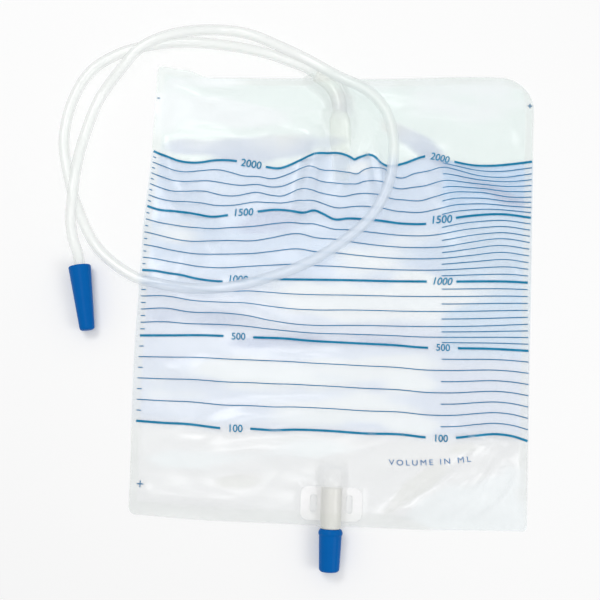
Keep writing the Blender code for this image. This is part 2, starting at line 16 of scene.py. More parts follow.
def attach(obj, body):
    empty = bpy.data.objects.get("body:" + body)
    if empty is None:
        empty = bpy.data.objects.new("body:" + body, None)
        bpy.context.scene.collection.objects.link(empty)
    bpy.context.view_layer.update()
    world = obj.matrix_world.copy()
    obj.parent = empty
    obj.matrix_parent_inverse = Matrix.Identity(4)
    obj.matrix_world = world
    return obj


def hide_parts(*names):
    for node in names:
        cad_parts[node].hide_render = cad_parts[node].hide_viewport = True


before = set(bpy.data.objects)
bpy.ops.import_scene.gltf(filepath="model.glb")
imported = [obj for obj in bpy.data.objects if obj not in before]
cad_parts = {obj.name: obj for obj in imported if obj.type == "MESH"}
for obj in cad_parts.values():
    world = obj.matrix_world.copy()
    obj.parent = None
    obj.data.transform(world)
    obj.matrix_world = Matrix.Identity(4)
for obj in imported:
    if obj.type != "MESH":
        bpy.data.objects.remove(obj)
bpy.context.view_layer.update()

# Camera, as the photograph was taken
CAMERA_PLACE = (-0.0178, -0.0796, 0.6641)
CAMERA_TURN = (6.33, 0.25, 2.42)
CAMERA_LENS = 60
CAMERA_SENSOR = 36

# Sizes of the bag, as in the part's source
BAG_WIDTH = 0.26
BAG_HEIGHT = 0.303
FILM = 0.00025
WELD_WIDTH = 0.006
# Each corner's radius, by its side in X and in Y
CORNERS = {(1, 1): 0.022, (-1, 1): 0.003, (1, -1): 0.003, (-1, -1): 0.005}
CLEARANCE = 0.0003
FILM_EASE = 0.0004
TOP_BOW = [(0, 0), (0.07, -0.002), (0.14, -0.007), (0.25, -0.006), (0.5, -0.004), (0.9, 0.001), (1, 0)]
BOTTOM_BOW = [(0, 0), (0.2, -0.0018), (0.7, -0.0018), (1, 0)]
LEFT_BOW = [(0, 0), (0.35, -0.0024), (0.6, -0.0016), (0.82, 0.0014), (1, 0.002)]
BOW_REACH = 0.1
BASE = FILM + CLEARANCE

# Folds in the front film: from, to, half-width, height
FOLD_RUN = 0.4
FOLD_FADE = 0.5
FOLDS = [
    ((-0.126, 0.147), (-0.063, 0.117), 0.01, 0.0045),
    ((-0.117, 0.113), (-0.054, 0.136), 0.012, 0.003),
    ((-0.051, 0.118), (-0.016, 0.105), 0.008, 0.004),
    ((-0.016, 0.1), (-0.024, 0.058), 0.006, 0.0045),
    ((0.022, 0.1), (0.031, 0.058), 0.006, 0.0035),
    ((0.059, 0.104), (0.076, 0.066), 0.008, 0.003),
    ((0.038, 0.139), (0.107, 0.123), 0.009, 0.0035),
    ((0.053, 0.106), (0.121, 0.115), 0.008, 0.003),
    ((-0.124, 0.091), (-0.092, 0.038), 0.008, 0.003),
    ((-0.112, -0.004), (-0.01, -0.03), 0.009, 0.0032),
    ((-0.057, -0.004), (0.03, -0.014), 0.01, 0.0024),
    ((0.082, 0.087), (0.123, 0.071), 0.007, 0.0026),
    ((0.085, 0.044), (0.122, 0.021), 0.008, 0.0026),
    ((-0.091, -0.057), (-0.002, -0.06), 0.009, 0.0026),
    ((-0.01, -0.05), (0.07, -0.036), 0.01, 0.0022),
    ((-0.068, -0.09), (0.009, -0.076), 0.008, 0.0026),
    ((-0.08, -0.108), (-0.02, -0.104), 0.008, 0.0026),
    ((0.046, -0.147), (0.105, -0.101), 0.008, 0.005),
    ((0.075, -0.143), (0.094, -0.122), 0.005, 0.003),
    ((0.092, -0.146), (0.116, -0.116), 0.005, 0.0034),
    ((0.09, -0.088), (0.126, -0.098), 0.006, 0.003),
    ((-0.12, -0.138), (-0.064, -0.141), 0.007, 0.002),
]

# Outlet port and its ears
OUTLET_X = 0.0022
OUTLET_RADIUS = 0.0065
OUTLET_INSIDE = 0.025
OUTLET_FOOT = 0.0105
OUTLET_RUN = 0.004
OUTLET_FADE = 0.02
EAR_REACH = 0.02
EAR_LOW = 0.0035
EAR_HEIGHT = 0.0215
EAR_THICKNESS = 0.0012
EAR_BITE = 0.00025
EAR_MARGIN = 0.0042
OUTLET_Z = BASE + EAR_THICKNESS - EAR_BITE + OUTLET_RADIUS
SEAM_Y = -BAG_HEIGHT / 2 + min(rise for _, rise in BOTTOM_BOW)

# Inlet sleeve and the non-return valve
INLET_X = -0.0023
INLET_DEPTH = 0.029
INLET_LEAD = 0.0015
INLET_RADIUS = 0.005
INLET_BEND = 0.024
INLET_LEAN = math.radians(58)
INLET_STUB = 0.006
INLET_FOOT = 0.0096
INLET_Z = BASE + INLET_RADIUS
INLET_Y = BAG_HEIGHT / 2 - INLET_DEPTH
VALVE_LENGTH = 0.046
VALVE_FOOT = 0.0125
VALVE_DRIFT = 0.0027
VALVE_RUN = 0.06
VALVE_FADE = 0.25
VALVE_SECTIONS = [
    (0.0, 0.0052, 0.0098),
    (0.12, 0.0072, 0.0086),
    (0.45, 0.0073, 0.0036),
    (0.56, 0.006, 0.002),
    (1.0, 0.0057, 0.0014),
]

# Inlet tube: its route is the part's own
TUBE_RADIUS = 0.0036
TUBE_BORE = 0.0025
TUBE_STEP = 0.0026
TUBE_SIDES = 28
TUBE_SHARP = math.radians(50)
CURVE_STEPS = 16
CONNECTOR_MOUTH = (-0.171, 0.0099)
CONNECTOR_TURN = math.radians(10.7)
CONNECTOR_INSET = 0.0005
CONNECTOR_LEAD = 0.008
CAP_RADIUS = 0.00735
ROUTE = [
    (-0.019, 0.1478, 0.0056), (-0.0266, 0.1526, 0.0056), (-0.038, 0.1566, 0.0048),
    (-0.0514, 0.1613, 0.0039), (-0.0721, 0.1653, 0.0037), (-0.0927, 0.1672, 0.0037),
    (-0.1133, 0.1673, 0.0037), (-0.133, 0.1643, 0.0037), (-0.1532, 0.1581, 0.0037),
    (-0.1726, 0.1448, 0.0037), (-0.1839, 0.1235, 0.0037), (-0.1881, 0.0979, 0.0037),
    (-0.1842, 0.0745, 0.0037), (-0.1757, 0.0494, 0.0037), (-0.1607, 0.0231, 0.004),
    (-0.1377, 0.0058, 0.006), (-0.1166, -0.0001, 0.0076), (-0.094, -0.0022, 0.0078),
    (-0.07, 0.0, 0.008), (-0.044, 0.0075, 0.008), (-0.018, 0.019, 0.008),
    (0.005, 0.035, 0.008), (0.021, 0.051, 0.0086), (0.031, 0.07, 0.0094),
    (0.0346, 0.09, 0.01), (0.0334, 0.108, 0.0112), (0.0272, 0.124, 0.0128),
    (0.014, 0.136, 0.0148), (-0.006, 0.1444, 0.0156), (-0.026, 0.1554, 0.0136),
    (-0.0453, 0.1656, 0.0088), (-0.0659, 0.1746, 0.0048), (-0.0864, 0.177, 0.004),
    (-0.1063, 0.1739, 0.0083), (-0.1239, 0.168, 0.0114), (-0.1383, 0.1598, 0.0116),
    (-0.1488, 0.1485, 0.0096), (-0.1659, 0.1243, 0.0046), (-0.1746, 0.0959, 0.0052),
    (-0.1767, 0.0782, 0.0096), (-0.1774, 0.0661, 0.0114), (-0.1778, 0.0532, 0.0116),
    (-0.1785, 0.0413, 0.0098), (-0.1766, 0.0283, 0.0076),
]

# Film meshes
FRONT_GRID = (200, 230)
BACK_GRID = (86, 100)
CREASE = 0.0014
SEAL_GAP = 0.00003
SEAL_EASE = 0.002
RIM = 1e-6
# The way in from the bottom edge counts by this share, so that the weld there looks wider
BOTTOM_BAND = 0.62

# Printed scale: the height of each guide level across the film, as (x, y)
GUIDES = {
    100: [
        (-0.128, -0.0907), (-0.11, -0.0913), (-0.093, -0.0915), (-0.083, -0.0923), (-0.073, -0.0931),
        (-0.053, -0.0927), (-0.038, -0.093), (-0.024, -0.0921), (-0.004, -0.0919), (0.022, -0.0926),
        (0.047, -0.0923), (0.063, -0.0935), (0.082, -0.0929), (0.095, -0.0909), (0.108, -0.0894),
        (0.119, -0.0903), (0.131, -0.0935),
    ],
    500: [
        (-0.129, -0.0343), (-0.108, -0.0334), (-0.088, -0.0325), (-0.054, -0.0325), (-0.032, -0.0325),
        (-0.017, -0.0333), (0.011, -0.0336), (0.042, -0.0339), (0.056, -0.0346), (0.081, -0.0341),
        (0.103, -0.0335), (0.13, -0.0338),
    ],
    700: [
        (-0.129, -0.0166), (-0.112, -0.0155), (-0.099, -0.0172), (-0.072, -0.0174), (-0.06, -0.0182),
        (-0.043, -0.021), (-0.025, -0.0228), (-0.014, -0.023), (0.01, -0.0219), (0.051, -0.0208),
        (0.094, -0.0188), (0.128, -0.0161),
    ],
    1000: [
        (-0.13, 0.0097), (-0.122, 0.0094), (-0.113, 0.0082), (-0.103, 0.0071), (-0.095, 0.0055),
        (-0.087, 0.0045), (-0.075, 0.0041), (-0.06, 0.0063), (-0.032, 0.0073), (0.006, 0.0084),
        (0.038, 0.009), (0.07, 0.0101), (0.115, 0.0119), (0.13, 0.0118),
    ],
    1300: [
        (-0.13, 0.0356), (-0.099, 0.0303), (-0.074, 0.032), (-0.055, 0.0328), (-0.046, 0.0347),
        (-0.025, 0.0385), (-0.016, 0.0365), (0.0, 0.0357), (0.011, 0.0343), (0.049, 0.0323),
        (0.069, 0.0335), (0.089, 0.0372), (0.111, 0.0408), (0.13, 0.0389),
    ],
    1500: [
        (-0.13, 0.0535), (-0.122, 0.0512), (-0.111, 0.0503), (-0.095, 0.0484), (-0.086, 0.0476),
        (-0.074, 0.0494), (-0.054, 0.0527), (-0.042, 0.0543), (-0.033, 0.0539), (-0.024, 0.0525),
        (-0.016, 0.0547), (-0.011, 0.0529), (-0.003, 0.0494), (0.006, 0.0503), (0.024, 0.0498),
        (0.041, 0.0484), (0.06, 0.049), (0.079, 0.0537), (0.095, 0.0564), (0.109, 0.0575),
        (0.13, 0.0559),
    ],
    1700: [
        (-0.129, 0.069), (-0.121, 0.0661), (-0.113, 0.0638), (-0.106, 0.0636), (-0.098, 0.0646),
        (-0.09, 0.0649), (-0.086, 0.064), (-0.079, 0.0627), (-0.069, 0.0629), (-0.063, 0.0644),
        (-0.057, 0.0657), (-0.047, 0.0642), (-0.038, 0.0641), (-0.034, 0.0658), (-0.028, 0.0685),
        (-0.024, 0.0685), (-0.015, 0.0674), (-0.006, 0.0659), (0.004, 0.0654), (0.009, 0.0668),
        (0.019, 0.068), (0.024, 0.0672), (0.034, 0.0649), (0.043, 0.0646), (0.055, 0.0646),
        (0.063, 0.0672), (0.073, 0.07), (0.081, 0.0714), (0.089, 0.0718), (0.098, 0.0715),
        (0.105, 0.0704), (0.113, 0.0692), (0.13, 0.0702),
    ],
    1900: [
        (-0.128, 0.084), (-0.122, 0.0817), (-0.112, 0.0779), (-0.106, 0.0775), (-0.096, 0.0789),
        (-0.081, 0.08), (-0.074, 0.0786), (-0.066, 0.0767), (-0.056, 0.0766), (-0.045, 0.0756),
        (-0.038, 0.0779), (-0.032, 0.0807), (-0.026, 0.0835), (-0.021, 0.0841), (-0.016, 0.083),
        (-0.006, 0.0825), (0.006, 0.0816), (0.012, 0.0815), (0.015, 0.0838), (0.025, 0.0849),
        (0.031, 0.084), (0.035, 0.081), (0.041, 0.0795), (0.05, 0.083), (0.059, 0.0849),
        (0.07, 0.0875), (0.077, 0.0864), (0.084, 0.0846), (0.092, 0.0829), (0.1, 0.0822),
        (0.106, 0.0823), (0.113, 0.083), (0.121, 0.0846), (0.13, 0.0863),
    ],
    2000: [
        (-0.128, 0.0916), (-0.12, 0.0883), (-0.111, 0.0853), (-0.095, 0.0848), (-0.087, 0.0864),
        (-0.072, 0.0868), (-0.061, 0.085), (-0.05, 0.0834), (-0.041, 0.083), (-0.035, 0.0852),
        (-0.028, 0.0888), (-0.017, 0.0929), (0.0068, 0.092), (0.009, 0.0909), (0.0112, 0.0921),
        (0.022, 0.093), (0.027, 0.0885), (0.032, 0.0872), (0.041, 0.0892), (0.057, 0.0947),
        (0.067, 0.0938), (0.076, 0.092), (0.088, 0.0901), (0.101, 0.0904), (0.118, 0.0926),
        (0.131, 0.0949),
    ],
}
MAIN_LEVELS = (100, 500, 1000, 1500, 2000)
FINE_LEVELS = [level for level in range(100, 2001, 100) if level not in MAIN_LEVELS]
HALF_LEVELS = range(150, 2000, 100)
HALF_START = 0.0723
HALF_LEAN = 0.0019
HALF_BLUR = 0.003
# Bare film beside the print, as (share of the way up, width)
LEFT_MARGIN = [(0, 0.0031), (0.38, 0.0031), (0.55, 0.0013), (1, 0.0012)]
RIGHT_MARGIN = [(0, 0.0005), (0.33, 0.0006), (0.53, 0.0022), (0.72, 0.0008), (1, 0.0005)]
MAIN_WIDTH = 0.00153
FINE_WIDTH = 0.0006
INK_GAP = 0.00001
INK_DEPTH = 0.00003
INK_STEP = 0.0009
INK_SHARP = math.radians(40)
LABEL_GAP = 0.0099
TICK_LENGTH = 0.003
SHORT_TICK = 0.002
# Registration marks: centre and arm
CROSSES = [((0.1272, 0.1333), 0.0016), ((-0.1233, -0.1315), 0.0022)]
DASH = ((-0.1262, 0.1285), 0.001)
# Text, its centre, its turn in degrees, its height, its slant and the rise of its ends
NUMBERS = [
    ("2000", (-0.0607, 0.0849), -8, 0.0053, 0, 0),
    ("2000", (0.0665, 0.0937), -9, 0.0049, 0.1, 0),
    ("1500", (-0.0648, 0.0514), 5, 0.0051, 0.15, 0),
    ("1500", (0.0687, 0.052), 5, 0.0054, 0.15, 0),
    ("1000", (-0.0661, 0.0058), 0, 0.0051, 0.1, 0),
    ("1000", (0.0702, 0.0101), 1, 0.0051, 0.25, 0),
    ("500", (-0.0637, -0.0324), 1, 0.0047, 0, 0),
    ("500", (0.0721, -0.0343), 0, 0.0047, 0, 0),
    ("100", (-0.0627, -0.0931), 1, 0.005, 0, 0),
    ("100", (0.0724, -0.0939), 0, 0.0048, 0, 0),
]
UNIT = ("VOLUME IN ML", (0.0655, -0.1098), 5, 0.0038, 0, 0.0013)
NUMBER_BOLD = 0.00008
DIGIT_SHARE = 0.73
DIGIT_NARROW = 0.98
UNIT_SPACING = 1.4
UNIT_WIDEN = 1.14
CUT_STEP = 0.0012
MERGE = 0.000002
RAY_TOP = 0.1

# Small creases: centre, direction in degrees, number, spacing, half-length, half-width and height
CREASES = [
    ((-0.02, 0.078), 92, 2, 0.005, 0.022, 0.002, 0.0012),
    ((0.025, 0.08), 100, 2, 0.005, 0.02, 0.0019, 0.0012),
    ((0.015, 0.1), 60, 3, 0.0055, 0.008, 0.0016, 0.001),
    ((0.09, -0.134), 35, 5, 0.0095, 0.02, 0.0024, 0.0013),
    ((0.108, -0.118), 65, 3, 0.008, 0.014, 0.0022, 0.0012),
    ((-0.075, 0.108), 12, 3, 0.011, 0.03, 0.0034, 0.0009),
    ((0.085, 0.116), 6, 3, 0.01, 0.026, 0.003, 0.0008),
    ((-0.03, -0.015), -8, 3, 0.009, 0.03, 0.003, 0.0007),
    ((-0.02, -0.054), 4, 3, 0.0085, 0.034, 0.0028, 0.0007),
    ((-0.03, -0.083), 8, 3, 0.008, 0.028, 0.0026, 0.0008),
    ((-0.085, -0.106), 5, 2, 0.009, 0.024, 0.003, 0.0006),
    ((0.035, -0.09), 20, 3, 0.008, 0.02, 0.0026, 0.0007),
    ((-0.102, 0.065), -70, 2, 0.008, 0.02, 0.003, 0.0007),
]
CRINKLE_SEED = 11
CRINKLE_COUNT = 70
CREASE_SPREAD = 0.25
CREASE_TURN = 0.5
CREASE_BEND = 0.12
# Fine crinkles anywhere on the film: how far out they lie, and the ranges of their sizes
CRINKLE_X = 0.115
CRINKLE_Y = 0.135
CRINKLE_TURN = 0.5
CRINKLE_LENGTHS = (0.006, 0.02)
CRINKLE_WIDTHS = (0.0016, 0.0034)
CRINKLE_HEIGHTS = (0.0001, 0.0004)

# Patches of painted glare and painted shade on the film: centre, direction in degrees, half-length,
# half-width and share.
# Where the share is above 0 a light tint is painted in as glare, and where it is below 0 a grey tint is
# painted in as shade.
GLARE_AND_SHADE_PATCHES = [
    ((0.03, 0.026), 14, 0.042, 0.014, 0.5),
    ((0.01, -0.006), -1, 0.064, 0.013, 0.9),
    ((-0.054, -0.055), -2, 0.038, 0.009, 0.8),
    ((0.034, -0.049), 10, 0.03, 0.008, 0.65),
    ((0.006, -0.08), 5, 0.054, 0.009, 0.45),
    ((-0.01, -0.066), 2, 0.09, 0.027, 0.25),
    ((-0.082, 0.12), -6, 0.041, 0.009, 1.0),
    ((-0.095, 0.14), 2, 0.027, 0.005, 0.5),
    ((0.082, 0.132), 6, 0.04, 0.016, 0.55),
    ((0.013, 0.085), 22, 0.011, 0.006, 0.5),
    ((0.099, 0.007), 2, 0.029, 0.012, 0.4),
    ((-0.082, -0.113), 2, 0.041, 0.007, 0.6),
    ((0.107, -0.129), 42, 0.024, 0.011, 0.6),
    ((0.094, -0.141), -1, 0.04, 0.016, 1.2),
    ((0.065, 0.144), 2, 0.05, 0.007, 0.3),
    ((-0.118, 0.12), 85, 0.022, 0.01, 0.5),
    ((0.056, 0.008), 2, 0.02, 0.008, 0.7),
    ((-0.103, 0.039), 0, 0.022, 0.01, 0.35),
    ((0.055, -0.0857), 4, 0.02, 0.006, 0.6),
    ((-0.002, -0.0487), 0, 0.022, 0.005, 0.5),
    ((0.051, -0.0597), 0, 0.018, 0.006, 0.6),
    ((-0.006, -0.1035), 2, 0.028, 0.006, 0.6),
    ((-0.107, -0.07), 0, 0.022, 0.008, 0.3),
    ((-0.053, 0.0965), 4, 0.038, 0.009, -1.0),
    ((-0.108, 0.095), 0, 0.02, 0.006, -0.6),
    ((0.0, 0.124), 80, 0.026, 0.011, -0.4),
    ((0.047, 0.106), -30, 0.026, 0.007, -0.9),
    ((-0.087, -0.021), -6, 0.044, 0.008, -0.45),
    ((0.006, -0.0325), 2, 0.056, 0.005, -0.45),
    ((0.054, -0.13), 40, 0.026, 0.007, -1.1),
    ((0.097, 0.0755), -22, 0.032, 0.005, -0.5),
    ((-0.048, 0.046), 10, 0.026, 0.009, -0.8),
    ((-0.056, -0.037), 0, 0.018, 0.005, -0.6),
    ((-0.058, -0.1265), 8, 0.017, 0.006, -0.7),
    ((0.09, -0.0985), 5, 0.018, 0.005, -0.6),
]
PATCH_EDGE = 1.5
PATCH_NOISE = 1.3
# How far into the patches the painted shade and the painted glare come in, and the most of each
SHADE_SHARE = (-0.15, -0.65)
GLARE_SHARE = (0.12, 0.6)
MOST_SHADE = 0.8
MOST_GLARE = 0.9
SHINE_LOST = 0.75
WELD_EDGE = (WELD_WIDTH * 1.1, WELD_WIDTH * 0.8)
MOST_WELD = 0.6

# Colours of the front film
HEADER_TINT = (0.86, 0.97, 0.94)
SCALE_TINT = (0.56, 0.71, 0.92)
# Painted glare: the light tint of the film's glare patches
PAINTED_GLARE_TINT = (0.94, 0.98, 1.0)
# Painted shade: the greyer tints of the film's shaded patches, on the header and on the scale
SHADE_HEADER_TINT = (0.8, 0.8, 0.77)
SHADE_SCALE_TINT = (0.4, 0.5, 0.74)
RIGHT_TINT = (0.58, 0.77, 0.97)
RIGHT_TOP_TINT = (0.44, 0.7, 1.0)
MIDDLE_TINT = (0.71, 0.79, 0.94)
LOWER_TINT = (0.9, 0.9, 0.91)
WELD_TINT = (0.8, 0.82, 0.8)
# Levels of the scale, in litres, between which one of these colours turns into another
LOWER_TO_MIDDLE = (0.06, 0.14)
MIDDLE_TO_SCALE = (0.7, 1.25)
RIGHT_START = (0.42, 0.52)
RIGHT_TO_TOP = (1.3, 1.75)
SCALE_TO_HEADER = (1.98, 2.02)
# Off the scale, above and below it, the painted shade takes the header's tint
SHADE_HEADER_START = (1.95, 2.5)
SHADE_LOWER_START = (0.14, 0.06)

# Colours of the other pieces; the tube's depend on what lies under it, and its rims hold painted shade
BACK_TINT = (0.82, 0.85, 0.85)
TUBE_CLOUDS = ((0.92, 0.95, 0.93), (0.97, 0.98, 0.97))
TUBE_ON_SCALE = (0.76, 0.83, 0.91)
TUBE_ON_HEADER = (0.88, 0.93, 0.91)
# Painted shade: the darker tints at the tube's rims, off the bag and on it
TUBE_RIM_SHADE = (0.72, 0.76, 0.75)
TUBE_RIM_SHADE_ON_BAG = (0.82, 0.86, 0.9)
HEADER_START = (0.084, 0.096)
BAG_LEFT = (-0.134, -0.126)
BAG_TOP = (0.153, 0.145)
PORT_CLOUDS = ((0.76, 0.76, 0.7), (0.82, 0.82, 0.76))
EAR_TINT = (1.0, 1.0, 1.0)
EAR_BLUR = 0.02
SLEEVE_CLOUDS = ((0.84, 0.84, 0.78), (0.92, 0.92, 0.86))
CONNECTOR_CLOUDS = ((0.8, 0.84, 0.82), (0.86, 0.89, 0.88))
CAP_CLOUDS = ((0.0, 0.108, 0.4), (0.0, 0.126, 0.44))
UNEVEN_GLOSS = 0.06
PLASTIC_IOR = 1.5
TUBE_RIM_ALPHA = 0.14
# Clear pieces: how solid the body is, its roughness, its gloss's roughness, and the light let by its shadow
CLEAR_FINISH = {
    "front_film_print": (0.24, 0.5, 0.2, 0.95),
    "back_film_plain": (0.25, 0.5, 0.3, 0.95),
    "clear_tube_pvc": (0.3, 0.4, 0.08, 0.94),
    "soft_port_outlet": (0.8, 0.4, 0.5, 0.85),
    "soft_port_inlet": (0.26, 0.45, 0.25, 0.92),
    "valve_sleeve": (0.22, 0.45, 0.25, 0.92),
}
# Each ink where it is full, and where it is worn thin
SCALE_INK = ((0.003, 0.19, 0.365), (0.018, 0.25, 0.45))
FINE_INK = ((0.004, 0.15, 0.33), (0.02, 0.195, 0.41))
UNIT_INK = ((0.06, 0.18, 0.4), (0.11, 0.25, 0.48))
INK_THINS = (0.35, 0.75)

# Light: the sky's strength for what isn't seen directly, and the lamps' name, place, size and power in watts
SKY = 0.6
LAMPS = [
    ("soft_box", (-0.42, 0.46, 1.1), (0.5, 0.28), 3.2),
    ("side_box", (0.8, -0.3, 0.9), (0.5, 0.5), 2.5),
    ("top_box", (-0.1, 0.03, 1.1), (0.4, 0.18), 1.1),
]
CLEAR_BOUNCES = 24
FLOOR_SIZE = 3.0
FLOOR_DROP = 0.0002
FLOOR_GREY = (0.8, 0.8, 0.8)
WHITE = (1.0, 1.0, 1.0)


def smoothstep(value):
    value = np.clip(value, 0, 1)
    return value * value * (3 - 2 * value)


def along(points, share):
    """The value at a share of the way through points, (share, value), eased between them."""
    result = np.full(np.shape(share), float(points[-1][1]))
    for (low, before), (high, after) in list(zip(points, points[1:]))[::-1]:
        eased = before + (after - before) * smoothstep((share - low) / (high - low))
        result = np.where(share <= high, eased, result)
    return result


def inlet_path(steps=12):
    """Points along the inlet sleeve's axis, in plan, from its inner end to its mouth."""
    points = [(INLET_X, INLET_Y)]
    for k in range(steps + 1):
        turn = INLET_LEAN * k / steps
        x = INLET_X - INLET_BEND * (1 - math.cos(turn))
        points.append((x, INLET_Y + INLET_LEAD + INLET_BEND * math.sin(turn)))
    x, y = points[-1]
    points.append((x - INLET_STUB * math.sin(INLET_LEAN), y + INLET_STUB * math.cos(INLET_LEAN)))
    return points


def distance_to_path(x, y, points):
    """The plan distance from places to the polyline through points."""
    best = np.full(np.shape(x), np.inf)
    for (ax, ay), (bx, by) in zip(points, points[1:]):
        run_x = bx - ax
        run_y = by - ay
        share = np.clip(((x - ax) * run_x + (y - ay) * run_y) / (run_x**2 + run_y**2), 0, 1)
        best = np.minimum(best, np.hypot(x - ax - run_x * share, y - ay - run_y * share))
    return best


def drape(offset, half_width, half_height, centre, foot):
    """The height, above BASE, of film that hangs over an oval and meets the flat at foot from its middle."""
    squeeze = half_height / half_width
    offset = np.abs(offset) * squeeze
    foot = foot * squeeze
    rise = centre - BASE
    reach = np.hypot(foot, rise)
    lean = np.arccos(np.minimum(half_height / reach, 1)) - np.arctan2(rise, foot)
    top = rise + np.sqrt(np.maximum(half_height**2 - offset**2, 0))
    skirt = np.maximum((foot - offset) / np.tan(lean), 0)
    return np.where(offset < half_height * np.cos(lean), top, skirt)


def over_outlet(x, y):
    """The film's lift over the outlet port's tube and ears."""
    from_seam = y - SEAM_Y
    radius = OUTLET_RADIUS + FILM_EASE
    tube = drape(x - OUTLET_X, radius, radius, OUTLET_Z, OUTLET_FOOT)
    tube = tube * (1 - smoothstep((from_seam - OUTLET_INSIDE - OUTLET_RUN) / OUTLET_FADE))
    sideways = np.abs(x - OUTLET_X) - EAR_REACH
    past_ear = from_seam - EAR_LOW - EAR_HEIGHT
    ears = 1 - smoothstep(np.maximum(sideways, past_ear) / EAR_MARGIN)
    return np.maximum(tube, ears * (EAR_THICKNESS + CLEARANCE))


def over_inlet(x, y):
    """The film's lift over the inlet sleeve and the valve."""
    radius = INLET_RADIUS + FILM_EASE
    lift = drape(distance_to_path(x, y, inlet_path()), radius, radius, INLET_Z, INLET_FOOT)
    share = (INLET_Y - y) / VALVE_LENGTH
    places, widths, heights = zip(*VALVE_SECTIONS)
    half_width = np.interp(share, places, widths) + FILM_EASE
    thickness = np.interp(share, places, heights)
    middle = INLET_X + VALVE_DRIFT * share
    centre = BASE + thickness / 2
    valve = drape(x - middle, half_width, thickness / 2 + FILM_EASE, centre, VALVE_FOOT)
    valve = valve * (1 - smoothstep((share - 1 - VALVE_RUN) / VALVE_FADE))
    return np.maximum(lift, np.where(share > -VALVE_RUN, valve, 0))


def fold_lift(x, y):
    """The lift of the film's soft folds."""
    lift = np.zeros(np.shape(x))
    for (ax, ay), (bx, by), half_width, height in FOLDS:
        run_x = bx - ax
        run_y = by - ay
        length = math.hypot(run_x, run_y)
        share = ((x - ax) * run_x + (y - ay) * run_y) / length**2
        aside = ((x - ax) * run_y - (y - ay) * run_x) / length / half_width
        ends = smoothstep((share + FOLD_RUN) / FOLD_FADE) * smoothstep((1 + FOLD_RUN - share) / FOLD_FADE)
        lift = lift + height * ends * np.exp(-aside * aside)
    return lift


def crease_lift(x, y):
    """The lift of the small creases, each a soft ridge that fades out at its ends."""
    draw = np.random.default_rng(CRINKLE_SEED)
    lift = np.zeros(np.shape(x))
    ridges = []
    for (cx, cy), turn, number, spacing, half_length, half_width, height in CREASES:
        turn = math.radians(turn)
        for k in range(number):
            offset = (k - (number - 1) / 2) * spacing
            wobble = draw.uniform(-CREASE_SPREAD, CREASE_SPREAD, 3)
            place = (cx - math.sin(turn) * offset, cy + math.cos(turn) * offset)
            size = (half_length * (1 + wobble[1]), half_width * (1 + wobble[2]), height * (1 + wobble[2]))
            ridges.append((place, turn + wobble[0] * CREASE_TURN, *size))
    for _ in range(CRINKLE_COUNT):
        place = (draw.uniform(-CRINKLE_X, CRINKLE_X), draw.uniform(-CRINKLE_Y, CRINKLE_Y))
        turn = draw.normal(0, CRINKLE_TURN)
        size = (draw.uniform(*CRINKLE_LENGTHS), draw.uniform(*CRINKLE_WIDTHS), draw.uniform(*CRINKLE_HEIGHTS))
        ridges.append((place, turn, *size))
    for (cx, cy), turn, half_length, half_width, height in ridges:
        forward = (x - cx) * math.cos(turn) + (y - cy) * math.sin(turn)
        aside = (y - cy) * math.cos(turn) - (x - cx) * math.sin(turn)
        aside = aside - CREASE_BEND * forward**2 / half_length
        lift = lift + height * np.exp(-((aside / half_width) ** 2) - (forward / half_length) ** 2)
    return lift


def painted_glare_and_shade(x, y):
    """The painted glare, above 0, and painted shade, below 0, at places on the film."""
    total = np.zeros(np.shape(x))
    for (cx, cy), turn, half_length, half_width, share in GLARE_AND_SHADE_PATCHES:
        turn = math.radians(turn)
        forward = ((x - cx) * math.cos(turn) + (y - cy) * math.sin(turn)) / half_length
        aside = ((y - cy) * math.cos(turn) - (x - cx) * math.sin(turn)) / half_width
        total = total + share * np.exp(-((forward**2 + aside**2) ** PATCH_EDGE))
    return total


def round_corner(x, y):
    """Places on the rectangle, drawn in where they lie in the square of a round corner."""
    moved_x = x.copy()
    moved_y = y.copy()
    for (side_x, side_y), radius in CORNERS.items():
        across = (side_x * x - BAG_WIDTH / 2 + radius) / radius
        up = (side_y * y - BAG_HEIGHT / 2 + radius) / radius
        inside = (across > 0) & (up > 0)
        across = across[inside]
        up = up[inside]
        reach_x = BAG_WIDTH / 2 - radius + radius * across * np.sqrt(1 - up * up / 2)
        reach_y = BAG_HEIGHT / 2 - radius + radius * up * np.sqrt(1 - across * across / 2)
        moved_x[inside] = side_x * reach_x
        moved_y[inside] = side_y * reach_y
    return moved_x, moved_y


def bag_point(x, y):
    """Places on the plain rectangle, moved to the bag's real outline."""
    across = (x + BAG_WIDTH / 2) / BAG_WIDTH
    up = (y + BAG_HEIGHT / 2) / BAG_HEIGHT
    top_share = smoothstep(1 - (BAG_HEIGHT / 2 - y) / BOW_REACH)
    bottom_share = smoothstep(1 - (BAG_HEIGHT / 2 + y) / BOW_REACH)
    left_share = smoothstep(1 - (BAG_WIDTH / 2 + x) / BOW_REACH)
    x, y = round_corner(x, y)
    moved_x = x + along(LEFT_BOW, up) * left_share
    moved_y = y + along(TOP_BOW, across) * top_share + along(BOTTOM_BOW, across) * bottom_share
    return moved_x, moved_y


def higher(one, other):
    """The higher of two lifts, rounded where they cross."""
    near = np.clip(CREASE - np.abs(one - other), 0, None)
    gate = np.clip(np.minimum(one, other) / CREASE, 0, 1)
    return np.maximum(one, other) + gate * near**2 / (4 * CREASE)


